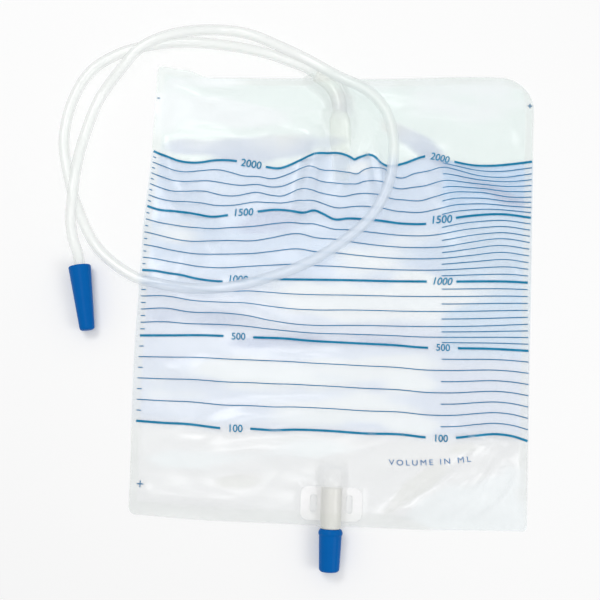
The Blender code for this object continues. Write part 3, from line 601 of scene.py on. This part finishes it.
def front_height(x, y, moved_x, moved_y):
    """The height of the front film's underside: sealed at the weld, lifted by folds and ports inside it."""
    edge = np.minimum(BAG_WIDTH / 2 - np.abs(x), BAG_HEIGHT / 2 - np.abs(y))
    held = smoothstep((edge - WELD_WIDTH / 2) / (2 * WELD_WIDTH))
    inside = smoothstep((edge - WELD_WIDTH) / SEAL_EASE)
    soft = fold_lift(moved_x, moved_y) * held + crease_lift(moved_x, moved_y) * inside * held
    ports = higher(over_outlet(moved_x, moved_y), over_inlet(moved_x, moved_y))
    open_share = np.maximum(inside, np.clip(ports / CLEARANCE, 0, 1))
    floor = FILM + SEAL_GAP + (CLEARANCE - SEAL_GAP) * open_share
    return floor + higher(soft, ports)


def flat_height(x, y, moved_x, moved_y):
    """The height of the back film's underside, which lies on the ground."""
    return 0 * x


def level_y(level, x):
    """The height on the film of a level of the scale, at places across it."""
    levels = sorted(GUIDES)
    for low, high in zip(levels, levels[1:]):
        if low <= level <= high:
            share = (level - low) / (high - low)
            return (1 - share) * guide_y(low, x) + share * guide_y(high, x)
    return guide_y(level, x)


def guide_y(level, x):
    """A guide level's height, as a smooth curve through its points."""
    places, heights = (np.array(values) for values in zip(*GUIDES[level]))
    slopes = np.gradient(heights, places)
    k = np.clip(np.searchsorted(places, x) - 1, 0, len(places) - 2)
    gap = places[k + 1] - places[k]
    t = np.clip((x - places[k]) / gap, 0, 1)
    start = heights[k] * (1 + 2 * t) * (1 - t) ** 2 + slopes[k] * gap * t * (1 - t) ** 2
    end = heights[k + 1] * t**2 * (3 - 2 * t) + slopes[k + 1] * gap * t**2 * (t - 1)
    return start + end


def level_at(x, y):
    """The scale's level at places on the film, running on past both ends of the scale."""
    levels = sorted(GUIDES)
    rows = [guide_y(level, x) for level in levels]
    result = levels[0] + (y - rows[0]) * (levels[1] - levels[0]) / (rows[1] - rows[0])
    for k in range(len(levels) - 1):
        share = (y - rows[k]) / (rows[k + 1] - rows[k])
        result = np.where(share > 0, levels[k] + share * (levels[k + 1] - levels[k]), result)
    return result


def placed(name, data):
    """A new object in the scene."""
    obj = bpy.data.objects.new(name, data)
    bpy.context.scene.collection.objects.link(obj)
    return obj


def new_object(name, mesh, material, body="bag"):
    obj = placed(name, mesh)
    mesh.materials.append(material)
    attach(obj, body)
    return obj


def mesh_from_bmesh(name, bm):
    mesh = bpy.data.meshes.new(name)
    bm.to_mesh(mesh)
    bm.free()
    mesh.shade_smooth()
    return mesh


def film_mesh(name, columns, rows, height_at):
    """A sheet over the bag's outline, with the place on the scale and the weld kept on its points."""
    bm = bmesh.new()
    bmesh.ops.create_grid(bm, x_segments=columns, y_segments=rows, size=0.5)
    mesh = mesh_from_bmesh(name, bm)
    count = len(mesh.vertices)
    places = np.empty(count * 3)
    mesh.vertices.foreach_get("co", places)
    places = places.reshape(-1, 3)
    x = places[:, 0] * BAG_WIDTH
    y = places[:, 1] * BAG_HEIGHT
    moved_x, moved_y = bag_point(x, y)
    places[:, 0] = moved_x
    places[:, 1] = moved_y
    places[:, 2] = height_at(x, y, moved_x, moved_y)
    mesh.vertices.foreach_set("co", places.ravel())
    edge = np.minimum(BAG_HEIGHT / 2 - y, (BAG_HEIGHT / 2 + y) * BOTTOM_BAND)
    edge = np.minimum(BAG_WIDTH / 2 - np.abs(x), edge)
    scale_place = mesh.attributes.new("scale_place", "FLOAT_VECTOR", "POINT")
    values = np.column_stack([moved_x, level_at(moved_x, moved_y) / 1000, edge])
    scale_place.data.foreach_set("vector", values.ravel())
    # Painted glare and painted shade, as a share kept on each point
    mesh.attributes.new("painted_glare_and_shade", "FLOAT", "POINT").data.foreach_set("value", painted_glare_and_shade(moved_x, moved_y))
    ends = np.empty(len(mesh.edges) * 2, dtype=int)
    mesh.edges.foreach_get("vertices", ends)
    rim = np.all(edge[ends.reshape(-1, 2)] < RIM, axis=1)
    mesh.attributes.new("sharp_edge", "BOOLEAN", "EDGE").data.foreach_set("value", rim)
    mesh.update()
    return mesh


def film_object(mesh, material):
    """A film from its underside's mesh, with its thickness above it."""
    film = new_object(mesh.name, mesh, material)
    shell = film.modifiers.new("Film", "SOLIDIFY")
    shell.thickness = FILM
    shell.offset = 1
    return film


def make_camera():
    data = bpy.data.cameras.new("camera")
    data.lens = CAMERA_LENS
    data.sensor_width = CAMERA_SENSOR
    camera = placed("camera", data)
    camera.location = CAMERA_PLACE
    camera.rotation_euler = Euler([math.radians(turn) for turn in CAMERA_TURN])
    bpy.context.scene.camera = camera


def tube_route():
    """The route's points with those of the part's connector end."""
    axis = Vector((math.sin(CONNECTOR_TURN), -math.cos(CONNECTOR_TURN), 0))
    end = Vector((*CONNECTOR_MOUTH, CAP_RADIUS)) + axis * (CONNECTOR_INSET - CLEARANCE)
    return [Vector(place) for place in ROUTE] + [end - axis * CONNECTOR_LEAD, end]


def smooth_route(places, step):
    """Points a step apart on the smooth curve through places."""
    fine = []
    for k in range(len(places) - 1):
        before = places[max(k - 1, 0)]
        a = places[k]
        b = places[k + 1]
        after = places[min(k + 2, len(places) - 1)]
        for j in range(CURVE_STEPS):
            t = j / CURVE_STEPS
            square = (2 * before - 5 * a + 4 * b - after) * t**2
            cubic = (3 * a - before - 3 * b + after) * t**3
            fine.append(0.5 * (2 * a + (b - before) * t + square + cubic))
    fine.append(places[-1])
    total = sum((b - a).length for a, b in zip(fine, fine[1:]))
    count = round(total / step)
    points = [fine[0]]
    walked = 0.0
    for a, b in zip(fine, fine[1:]):
        piece = (b - a).length
        while len(points) < count and walked + piece >= len(points) * total / count:
            share = (len(points) * total / count - walked) / piece
            points.append(a.lerp(b, share))
        walked += piece
    return points[:count] + [fine[-1]], total


def swept_rings(points, radius, sides):
    """Rings of places round each point of a path, with no twist between them."""
    rings = []
    side = Vector((0, 0, 1))
    for k, point in enumerate(points):
        ahead = (points[min(k + 1, len(points) - 1)] - points[max(k - 1, 0)]).normalized()
        side = (side - ahead * side.dot(ahead)).normalized()
        other = ahead.cross(side)
        ring = []
        for j in range(sides):
            turn = 2 * math.pi * j / sides
            ring.append(point + (side * math.cos(turn) + other * math.sin(turn)) * radius)
        rings.append(ring)
    return rings


def hollow_tube(name, points, outer, inner, sides):
    """A tube with a bore, its two walls joined by a flat ring at each end."""
    bm = bmesh.new()
    outside = [[bm.verts.new(place) for place in ring] for ring in swept_rings(points, outer, sides)]
    inside = [[bm.verts.new(place) for place in ring] for ring in swept_rings(points, inner, sides)]
    loop = outside + inside[::-1]
    for one, other in zip(loop, loop[1:] + loop[:1]):
        for j in range(sides):
            after = (j + 1) % sides
            bm.faces.new((one[j], one[after], other[after], other[j]))
    bmesh.ops.recalc_face_normals(bm, faces=bm.faces)
    mesh = mesh_from_bmesh(name, bm)
    mesh.set_sharp_from_angle(angle=TUBE_SHARP)
    return mesh


def make_tube():
    """The free inlet tube, with the capped connector on its far end."""
    points, length = smooth_route(tube_route(), TUBE_STEP)
    mesh = hollow_tube("clear_inlet_tube", points, TUBE_RADIUS, TUBE_BORE, TUBE_SIDES)
    finish = clear_plastic("clear_tube_pvc", tube_tint, tube_bump, rim_alpha=TUBE_RIM_ALPHA)
    tube = new_object("clear_inlet_tube", mesh, finish)
    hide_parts("inlet_tube")


def node_tree(name):
    """A new material with its nodes and its output."""
    material = bpy.data.materials.new(name)
    material.use_nodes = True
    tree = material.node_tree
    tree.nodes.clear()
    return material, tree, add(tree, "OutputMaterial")


def connect(tree, socket, value):
    """Links a socket to an output, or sets it to a plain value or colour."""
    if isinstance(value, bpy.types.NodeSocket):
        tree.links.new(value, socket)
    elif isinstance(value, tuple):
        socket.default_value = (*value, 1)
    else:
        socket.default_value = value


def add(tree, kind, inputs=()):
    """A new node with the inputs that are given, by name or by number."""
    node = tree.nodes.new("ShaderNode" + kind)
    for name, value in dict(inputs).items():
        connect(tree, node.inputs[name], value)
    return node


def math_node(tree, operation, *values):
    node = add(tree, "Math")
    node.operation = operation
    for socket, value in zip(node.inputs, values):
        connect(tree, socket, value)
    return node.outputs[0]


def ramp(tree, value, low, high):
    """A value from 0 at low to 1 at high, eased at both ends."""
    node = add(tree, "MapRange", {"Value": value, "From Min": low, "From Max": high})
    node.interpolation_type = "SMOOTHSTEP"
    return node.outputs["Result"]


def mix_colour(tree, share, one, other):
    node = add(tree, "Mix")
    node.data_type = "RGBA"
    connect(tree, node.inputs[0], share)
    connect(tree, node.inputs[6], one)
    connect(tree, node.inputs[7], other)
    return node.outputs[2]


def mix_shader(tree, share, one, other):
    return add(tree, "MixShader", enumerate((share, one, other))).outputs[0]


def split_xyz(tree, vector):
    return add(tree, "SeparateXYZ", {"Vector": vector}).outputs


def attribute(tree, name):
    """A value that is kept on the mesh's points."""
    node = add(tree, "Attribute")
    node.attribute_name = name
    return node


def noise_value(tree, scale, detail=3.0, stretch=(1, 1, 1), kind="FBM"):
    """A noise pattern over the object's own places, with scale in cells per metre."""
    mapping = add(tree, "Mapping", {"Vector": add(tree, "TexCoord").outputs["Object"]})
    mapping.inputs["Scale"].default_value = stretch
    pattern = add(tree, "TexNoise", {"Vector": mapping.outputs["Vector"], "Scale": scale, "Detail": detail})
    pattern.noise_type = kind
    return pattern.outputs["Fac"]


def bump(tree, height, distance, strength=1.0, over=None):
    """A normal that follows a height, over another normal if there is one."""
    node = add(tree, "Bump", {"Height": height, "Distance": distance, "Strength": strength})
    if over:
        tree.links.new(over, node.inputs["Normal"])
    return node.outputs["Normal"]


def steepness(tree, power):
    """How far a surface turns away, from 0 to 1, to a power."""
    facing = add(tree, "LayerWeight", {"Blend": 0.5}).outputs["Facing"]
    return math_node(tree, "POWER", facing, power)


def seen_directly(tree):
    """1 for rays from the camera, off gloss or through glass, and 0 for the rest."""
    rays = add(tree, "LightPath").outputs
    seen = math_node(tree, "MAXIMUM", rays["Is Camera Ray"], rays["Is Glossy Ray"])
    return math_node(tree, "MAXIMUM", seen, rays["Is Transmission Ray"])


def clear_plastic(name, colour, normal, rim_alpha=0.0, kept_shine=None):
    """See-through plastic: a tinted body, partly clear, under a gloss; its shadow lets most light by."""
    material, tree, output = node_tree(name)
    alpha, roughness, gloss_roughness, lets_light = CLEAR_FINISH[name]
    if rim_alpha:
        alpha = math_node(tree, "MULTIPLY_ADD", steepness(tree, 2.0), rim_alpha, alpha)
    normal = normal(tree)
    body = add(tree, "BsdfPrincipled", {
        "Base Color": colour(tree) if callable(colour) else colour,
        "Alpha": alpha,
        "Roughness": roughness,
        "Specular IOR Level": 0.0,
        "Normal": normal,
    })
    gloss = add(tree, "BsdfGlossy", {"Roughness": gloss_roughness, "Normal": normal})
    fresnel = add(tree, "Fresnel", {"IOR": PLASTIC_IOR, "Normal": normal})
    outside = math_node(tree, "SUBTRACT", 1.0, add(tree, "NewGeometry").outputs["Backfacing"])
    shine = math_node(tree, "MULTIPLY", fresnel.outputs[0], outside)
    if kept_shine:
        shine = math_node(tree, "MULTIPLY", shine, kept_shine(tree))
    surface = mix_shader(tree, shine, body.outputs[0], gloss.outputs[0])
    in_shadow = add(tree, "LightPath").outputs["Is Shadow Ray"]
    let_by = math_node(tree, "MULTIPLY", in_shadow, lets_light)
    clear = add(tree, "BsdfTransparent").outputs[0]
    tree.links.new(mix_shader(tree, let_by, surface, clear), output.inputs["Surface"])
    return material


def film_places(tree):
    """Places on the front film: across it, the scale's level, its share of painted glare or painted shade,
    and its weld.
    """
    across, level, edge = split_xyz(tree, attribute(tree, "scale_place").outputs["Vector"])
    clouds = noise_value(tree, 34, 2.5, (0.6, 1.6, 1.0))
    uneven = math_node(tree, "MULTIPLY_ADD", clouds, PATCH_NOISE, -PATCH_NOISE / 2)
    share = math_node(tree, "ADD", attribute(tree, "painted_glare_and_shade").outputs["Fac"], uneven)
    weld = ramp(tree, edge, *WELD_EDGE)
    return across, level, share, weld


def film_tint(tree):
    """The front film's colour: its lower part, its scale with a bluer right side, its header and its weld,
    with patches of painted shade and painted glare over them.
    """
    across, level, share, weld = film_places(tree)
    colour = mix_colour(tree, ramp(tree, level, *LOWER_TO_MIDDLE), LOWER_TINT, MIDDLE_TINT)
    colour = mix_colour(tree, ramp(tree, level, *MIDDLE_TO_SCALE), colour, SCALE_TINT)
    past_start = math_node(tree, "MULTIPLY_ADD", level, HALF_LEAN, across)
    past_start = ramp(tree, past_start, HALF_START - HALF_BLUR, HALF_START + HALF_BLUR)
    right = math_node(tree, "MULTIPLY", past_start, ramp(tree, level, *RIGHT_START))
    right_tint = mix_colour(tree, ramp(tree, level, *RIGHT_TO_TOP), RIGHT_TINT, RIGHT_TOP_TINT)
    colour = mix_colour(tree, right, colour, right_tint)
    colour = mix_colour(tree, ramp(tree, level, *SCALE_TO_HEADER), colour, HEADER_TINT)
    # Painted shade: its tint, the header's off the scale, and its share in the shaded patches
    above = ramp(tree, level, *SHADE_HEADER_START)
    off_scale = math_node(tree, "MAXIMUM", above, ramp(tree, level, *SHADE_LOWER_START))
    painted_shade_tint = mix_colour(tree, off_scale, SHADE_SCALE_TINT, SHADE_HEADER_TINT)
    painted_shade = math_node(tree, "MULTIPLY", ramp(tree, share, *SHADE_SHARE), MOST_SHADE)
    colour = mix_colour(tree, painted_shade, colour, painted_shade_tint)
    colour = mix_colour(tree, math_node(tree, "MULTIPLY", weld, MOST_WELD), colour, WELD_TINT)
    # Painted glare in the glare patches
    painted_glare = math_node(tree, "MULTIPLY", ramp(tree, share, *GLARE_SHARE), MOST_GLARE)
    return mix_colour(tree, painted_glare, colour, PAINTED_GLARE_TINT)


def film_shine(tree):
    """The share of its gloss that the front film keeps: less in its patches of painted glare and shade, and
    on its weld.
    """
    _, _, share, weld = film_places(tree)
    lost = math_node(tree, "MAXIMUM", ramp(tree, share, *SHADE_SHARE), weld)
    lost = math_node(tree, "MAXIMUM", ramp(tree, share, *GLARE_SHARE), lost)
    return math_node(tree, "MULTIPLY_ADD", lost, -SHINE_LOST, 1.0)


def film_bump(tree):
    """Slack waves in the film, with finer crinkles over them."""
    slack = bump(tree, noise_value(tree, 26, 1.0, (0.7, 1.5, 1.0)), distance=0.0022)
    crinkles = noise_value(tree, 75, 2.0, (0.6, 1.3, 1.0), "RIDGED_MULTIFRACTAL")
    return bump(tree, crinkles, distance=0.0002, over=slack)


def tube_tint(tree):
    """A clear wall that takes up the colour of what lies under it: white, the header or the blue scale; its
    rims are painted darker as shade.
    """
    across, along_bag, _ = split_xyz(tree, add(tree, "TexCoord").outputs["Object"])
    outside = mix_colour(tree, noise_value(tree, 40, 2.0), *TUBE_CLOUDS)
    over_bag = mix_colour(tree, ramp(tree, along_bag, *HEADER_START), TUBE_ON_SCALE, TUBE_ON_HEADER)
    below_top = ramp(tree, along_bag, *BAG_TOP)
    on_bag = math_node(tree, "MULTIPLY", ramp(tree, across, *BAG_LEFT), below_top)
    middle = mix_colour(tree, on_bag, outside, over_bag)
    # Painted shade at the rims, where the wall turns away
    rim = mix_colour(tree, on_bag, TUBE_RIM_SHADE, TUBE_RIM_SHADE_ON_BAG)
    return mix_colour(tree, steepness(tree, 3.0), middle, rim)


def tube_bump(tree):
    return bump(tree, noise_value(tree, 60), distance=0.0003, strength=0.3)


def port_tint(tree):
    """The outlet port's colour: a greyish soft tube between two whiter ears."""
    across = split_xyz(tree, add(tree, "TexCoord").outputs["Generated"])[0]
    aside = math_node(tree, "ABSOLUTE", math_node(tree, "SUBTRACT", across, 0.5))
    ear_start = OUTLET_RADIUS / (2 * EAR_REACH)
    cloud = mix_colour(tree, noise_value(tree, 120), *PORT_CLOUDS)
    return mix_colour(tree, ramp(tree, aside, ear_start, ear_start + EAR_BLUR), cloud, EAR_TINT)


def sleeve_tint(tree):
    return mix_colour(tree, noise_value(tree, 90), *SLEEVE_CLOUDS)


def soft_skin(tree, scale=500):
    return bump(tree, noise_value(tree, scale, 2.0), distance=0.0001, strength=0.4)


def moulded(name, clouds, roughness, specular):
    """Moulded plastic with a faint flow in its colour, an uneven gloss and a fine skin."""
    material, tree, output = node_tree(name)
    uneven = add(tree, "MapRange", {
        "Value": noise_value(tree, 260, 2.0),
        "To Min": roughness - UNEVEN_GLOSS,
        "To Max": roughness + UNEVEN_GLOSS,
    })
    shader = add(tree, "BsdfPrincipled", {
        "Base Color": mix_colour(tree, noise_value(tree, 90), *clouds),
        "Roughness": uneven.outputs["Result"],
        "Specular IOR Level": specular,
        "Normal": soft_skin(tree, 900),
    })
    tree.links.new(shader.outputs[0], output.inputs["Surface"])
    return material


def ink_material(name, shades):
    """Blue ink, a little thin in places."""
    material, tree, output = node_tree(name)
    thin = ramp(tree, noise_value(tree, 150), *INK_THINS)
    shader = add(tree, "BsdfPrincipled", {
        "Base Color": mix_colour(tree, thin, *shades),
        "Roughness": 0.35,
        "Specular IOR Level": 0.15,
    })
    tree.links.new(shader.outputs[0], output.inputs["Surface"])
    return material


def give(node, material):
    """Puts a material on a CAD node."""
    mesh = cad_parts[node].data
    mesh.materials.clear()
    mesh.materials.append(material)


def front_film():
    mesh = film_mesh("printed_front_film", *FRONT_GRID, front_height)
    film = film_object(mesh, clear_plastic("front_film_print", film_tint, film_bump, kept_shine=film_shine))
    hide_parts("front_film")
    return film


def back_film():
    mesh = film_mesh("plain_back_film", *BACK_GRID, flat_height)
    film = film_object(mesh, clear_plastic("back_film_plain", BACK_TINT, film_bump))
    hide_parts("back_film")


def surface_of(obj):
    """A search tree over an object's evaluated mesh, for finding heights from above."""
    bpy.context.view_layer.update()
    return BVHTree.FromObject(obj, bpy.context.evaluated_depsgraph_get())


def height_on(tree, x, y):
    hit = tree.ray_cast(Vector((x, y, RAY_TOP)), Vector((0, 0, -1)))
    return hit[0].z if hit[0] else FILM


def ribbon(bm, tree, xs, ys, width):
    """A thin printed line that lies on the film, through places across it."""
    centre = np.column_stack([xs, ys])
    ahead = np.gradient(centre, axis=0)
    ahead /= np.linalg.norm(ahead, axis=1)[:, None]
    side = np.column_stack([-ahead[:, 1], ahead[:, 0]]) * width / 2
    rings = []
    for place, offset in zip(centre, side):
        ring = []
        for x, y in (place - offset, place + offset):
            z = height_on(tree, x, y) + INK_GAP
            ring += [(x, y, z), (x, y, z + INK_DEPTH)]
        low, low_top, high, high_top = ring
        rings.append([bm.verts.new(corner) for corner in (low, high, high_top, low_top)])
    for one, other in zip(rings, rings[1:]):
        for k in range(4):
            bm.faces.new((one[k], one[(k + 1) % 4], other[(k + 1) % 4], other[k]))
    bm.faces.new(rings[0][::-1])
    bm.faces.new(rings[-1])


def print_edge(y, side):
    """Where the print ends at the bag's left or right edge."""
    up = (y + BAG_HEIGHT / 2) / BAG_HEIGHT
    if side < 0:
        return -BAG_WIDTH / 2 + float(along(LEFT_BOW, up)) + float(along(LEFT_MARGIN, up))
    return BAG_WIDTH / 2 - float(along(RIGHT_MARGIN, up))


def level_ribbon(bm, tree, level, width, start, end):
    count = max(2, round((end - start) / INK_STEP))
    xs = np.linspace(start, end, count)
    ribbon(bm, tree, xs, level_y(level, xs), width)


def level_ends(level):
    low, high = level_y(level, np.array([-BAG_WIDTH / 2, BAG_WIDTH / 2]))
    return print_edge(low, -1), print_edge(high, 1)


def print_object(name, bm, ink):
    bmesh.ops.recalc_face_normals(bm, faces=bm.faces)
    obj = new_object(name, mesh_from_bmesh(name, bm), ink)
    obj.data.set_sharp_from_angle(angle=INK_SHARP)


def main_lines(tree, ink):
    """The thick lines, each broken round its two numbers."""
    bm = bmesh.new()
    for level in MAIN_LEVELS:
        left, right = level_ends(level)
        stops = [left]
        for text, (x, _), *_ in NUMBERS:
            if text == str(level):
                stops += [x - LABEL_GAP, x + LABEL_GAP]
        stops.append(right)
        for start, end in zip(stops[::2], stops[1::2]):
            level_ribbon(bm, tree, level, MAIN_WIDTH, start, end)
    print_object("scale_main_lines", bm, ink)


def fine_lines(tree, ink):
    """The thin lines, the half steps at the right and the ticks at the left."""
    bm = bmesh.new()
    for level in FINE_LEVELS:
        left, right = level_ends(level)
        level_ribbon(bm, tree, level, FINE_WIDTH, left, right)
    for level in HALF_LEVELS:
        left, right = level_ends(level)
        level_ribbon(bm, tree, level, FINE_WIDTH, HALF_START - HALF_LEAN * level / 1000, right)
        level_ribbon(bm, tree, level, FINE_WIDTH, left, left + (TICK_LENGTH if level < 1000 else SHORT_TICK))
    for (x, y), arm in CROSSES:
        reach = np.linspace(-arm, arm, 5)
        ribbon(bm, tree, x + reach, y + 0 * reach, FINE_WIDTH)
        ribbon(bm, tree, x + 0 * reach, y + reach, FINE_WIDTH)
    (x, y), arm = DASH
    reach = np.linspace(-arm, arm, 4)
    ribbon(bm, tree, x + reach, y + 0 * reach, FINE_WIDTH)
    print_object("scale_fine_lines", bm, ink)


def text_mesh(text, height, slant, end_rise, bold, spacing, width):
    """Flat letters of a height, centred on the origin, cut by a grid so that they can follow the film."""
    curve = bpy.data.curves.new("letters", "FONT")
    curve.body = text
    curve.size = height / DIGIT_SHARE
    curve.align_x = "CENTER"
    curve.align_y = "CENTER"
    curve.offset = bold
    curve.shear = slant
    curve.space_character = spacing
    curve.extrude = INK_DEPTH / 2
    holder = placed("letters", curve)
    bpy.context.view_layer.update()
    mesh = bpy.data.meshes.new_from_object(holder.evaluated_get(bpy.context.evaluated_depsgraph_get()))
    bpy.data.objects.remove(holder, do_unlink=True)
    bpy.data.curves.remove(curve)
    bm = bmesh.new()
    bm.from_mesh(mesh)
    bpy.data.meshes.remove(mesh)
    bmesh.ops.remove_doubles(bm, verts=bm.verts, dist=MERGE)
    for vert in bm.verts:
        vert.co.x *= width
    reach = max(abs(value) for vert in bm.verts for value in vert.co.xy)
    for vert in bm.verts:
        vert.co.y += end_rise * (vert.co.x / reach) ** 2
    for axis in (Vector((1, 0, 0)), Vector((0, 1, 0))):
        for k in range(-int(reach / CUT_STEP), int(reach / CUT_STEP) + 1):
            whole = [*bm.verts, *bm.edges, *bm.faces]
            place = axis * k * CUT_STEP
            bmesh.ops.bisect_plane(bm, geom=whole, dist=MERGE / 2, plane_co=place, plane_no=axis)
    return bm


def lettering(name, texts, tree, ink, bold, spacing, width):
    """Plain letters of one ink, laid on the film."""
    made = bmesh.new()
    for text, (x, y), turn, height, slant, end_rise in texts:
        letters = text_mesh(text, height, slant, end_rise, bold, spacing, width)
        bmesh.ops.rotate(letters, verts=letters.verts, matrix=Matrix.Rotation(math.radians(turn), 3, "Z"))
        for vert in letters.verts:
            vert.co.x += x
            vert.co.y += y
            vert.co.z += height_on(tree, vert.co.x, vert.co.y) + INK_GAP + INK_DEPTH / 2
        part = bpy.data.meshes.new("letters")
        letters.to_mesh(part)
        letters.free()
        made.from_mesh(part)
        bpy.data.meshes.remove(part)
    print_object(name, made, ink)


def make_light():
    """Soft studio light from above, on a floor that the camera sees as white."""
    world = bpy.data.worlds.new("studio")
    world.use_nodes = True
    tree = world.node_tree
    tree.nodes.clear()
    strength = math_node(tree, "MULTIPLY_ADD", seen_directly(tree), 1.0 - SKY, SKY)
    background = add(tree, "Background", {"Color": WHITE, "Strength": strength})
    add(tree, "OutputWorld", {"Surface": background.outputs[0]})
    bpy.context.scene.world = world
    for name, place, size, power in LAMPS:
        data = bpy.data.lights.new(name, "AREA")
        data.shape = "RECTANGLE"
        data.size, data.size_y = size
        data.energy = power
        lamp = placed(name, data)
        lamp.location = place
        lamp.rotation_euler = (-Vector(place)).to_track_quat("-Z", "Y").to_euler()


def make_floor():
    material, tree, output = node_tree("floor_white")
    shader = add(tree, "BsdfDiffuse", {"Color": mix_colour(tree, seen_directly(tree), FLOOR_GREY, WHITE)})
    tree.links.new(shader.outputs[0], output.inputs["Surface"])
    bm = bmesh.new()
    bmesh.ops.create_grid(bm, x_segments=2, y_segments=2, size=FLOOR_SIZE / 2)
    mesh = mesh_from_bmesh("floor", bm)
    mesh.materials.append(material)
    floor = placed("floor", mesh)
    floor.location.z = -FLOOR_DROP


def main():
    bpy.context.scene.view_settings.view_transform = "Standard"
    bpy.context.scene.cycles.transparent_max_bounces = CLEAR_BOUNCES
    make_camera()
    make_tube()
    make_light()
    make_floor()
    back_film()
    film = front_film()
    surface = surface_of(film)
    ink = ink_material("scale_ink", SCALE_INK)
    main_lines(surface, ink)
    fine_lines(surface, ink_material("fine_ink", FINE_INK))
    lettering("scale_numbers", NUMBERS, surface, ink, bold=NUMBER_BOLD, spacing=1.0, width=DIGIT_NARROW)
    pale_ink = ink_material("unit_ink", UNIT_INK)
    lettering("scale_unit", [UNIT], surface, pale_ink, bold=0.0, spacing=UNIT_SPACING, width=UNIT_WIDEN)
    give("outlet_port", clear_plastic("soft_port_outlet", port_tint, soft_skin))
    give("inlet_port", clear_plastic("soft_port_inlet", sleeve_tint, soft_skin))
    give("non_return_valve", clear_plastic("valve_sleeve", sleeve_tint, soft_skin))
    give("catheter_connector", moulded("clear_connector", CONNECTOR_CLOUDS, roughness=0.2, specular=0.5))
    blue = moulded("cap_blue", CAP_CLOUDS, roughness=0.36, specular=0.06)
    give("outlet_cap", blue)
    give("connector_cap", blue)


main()
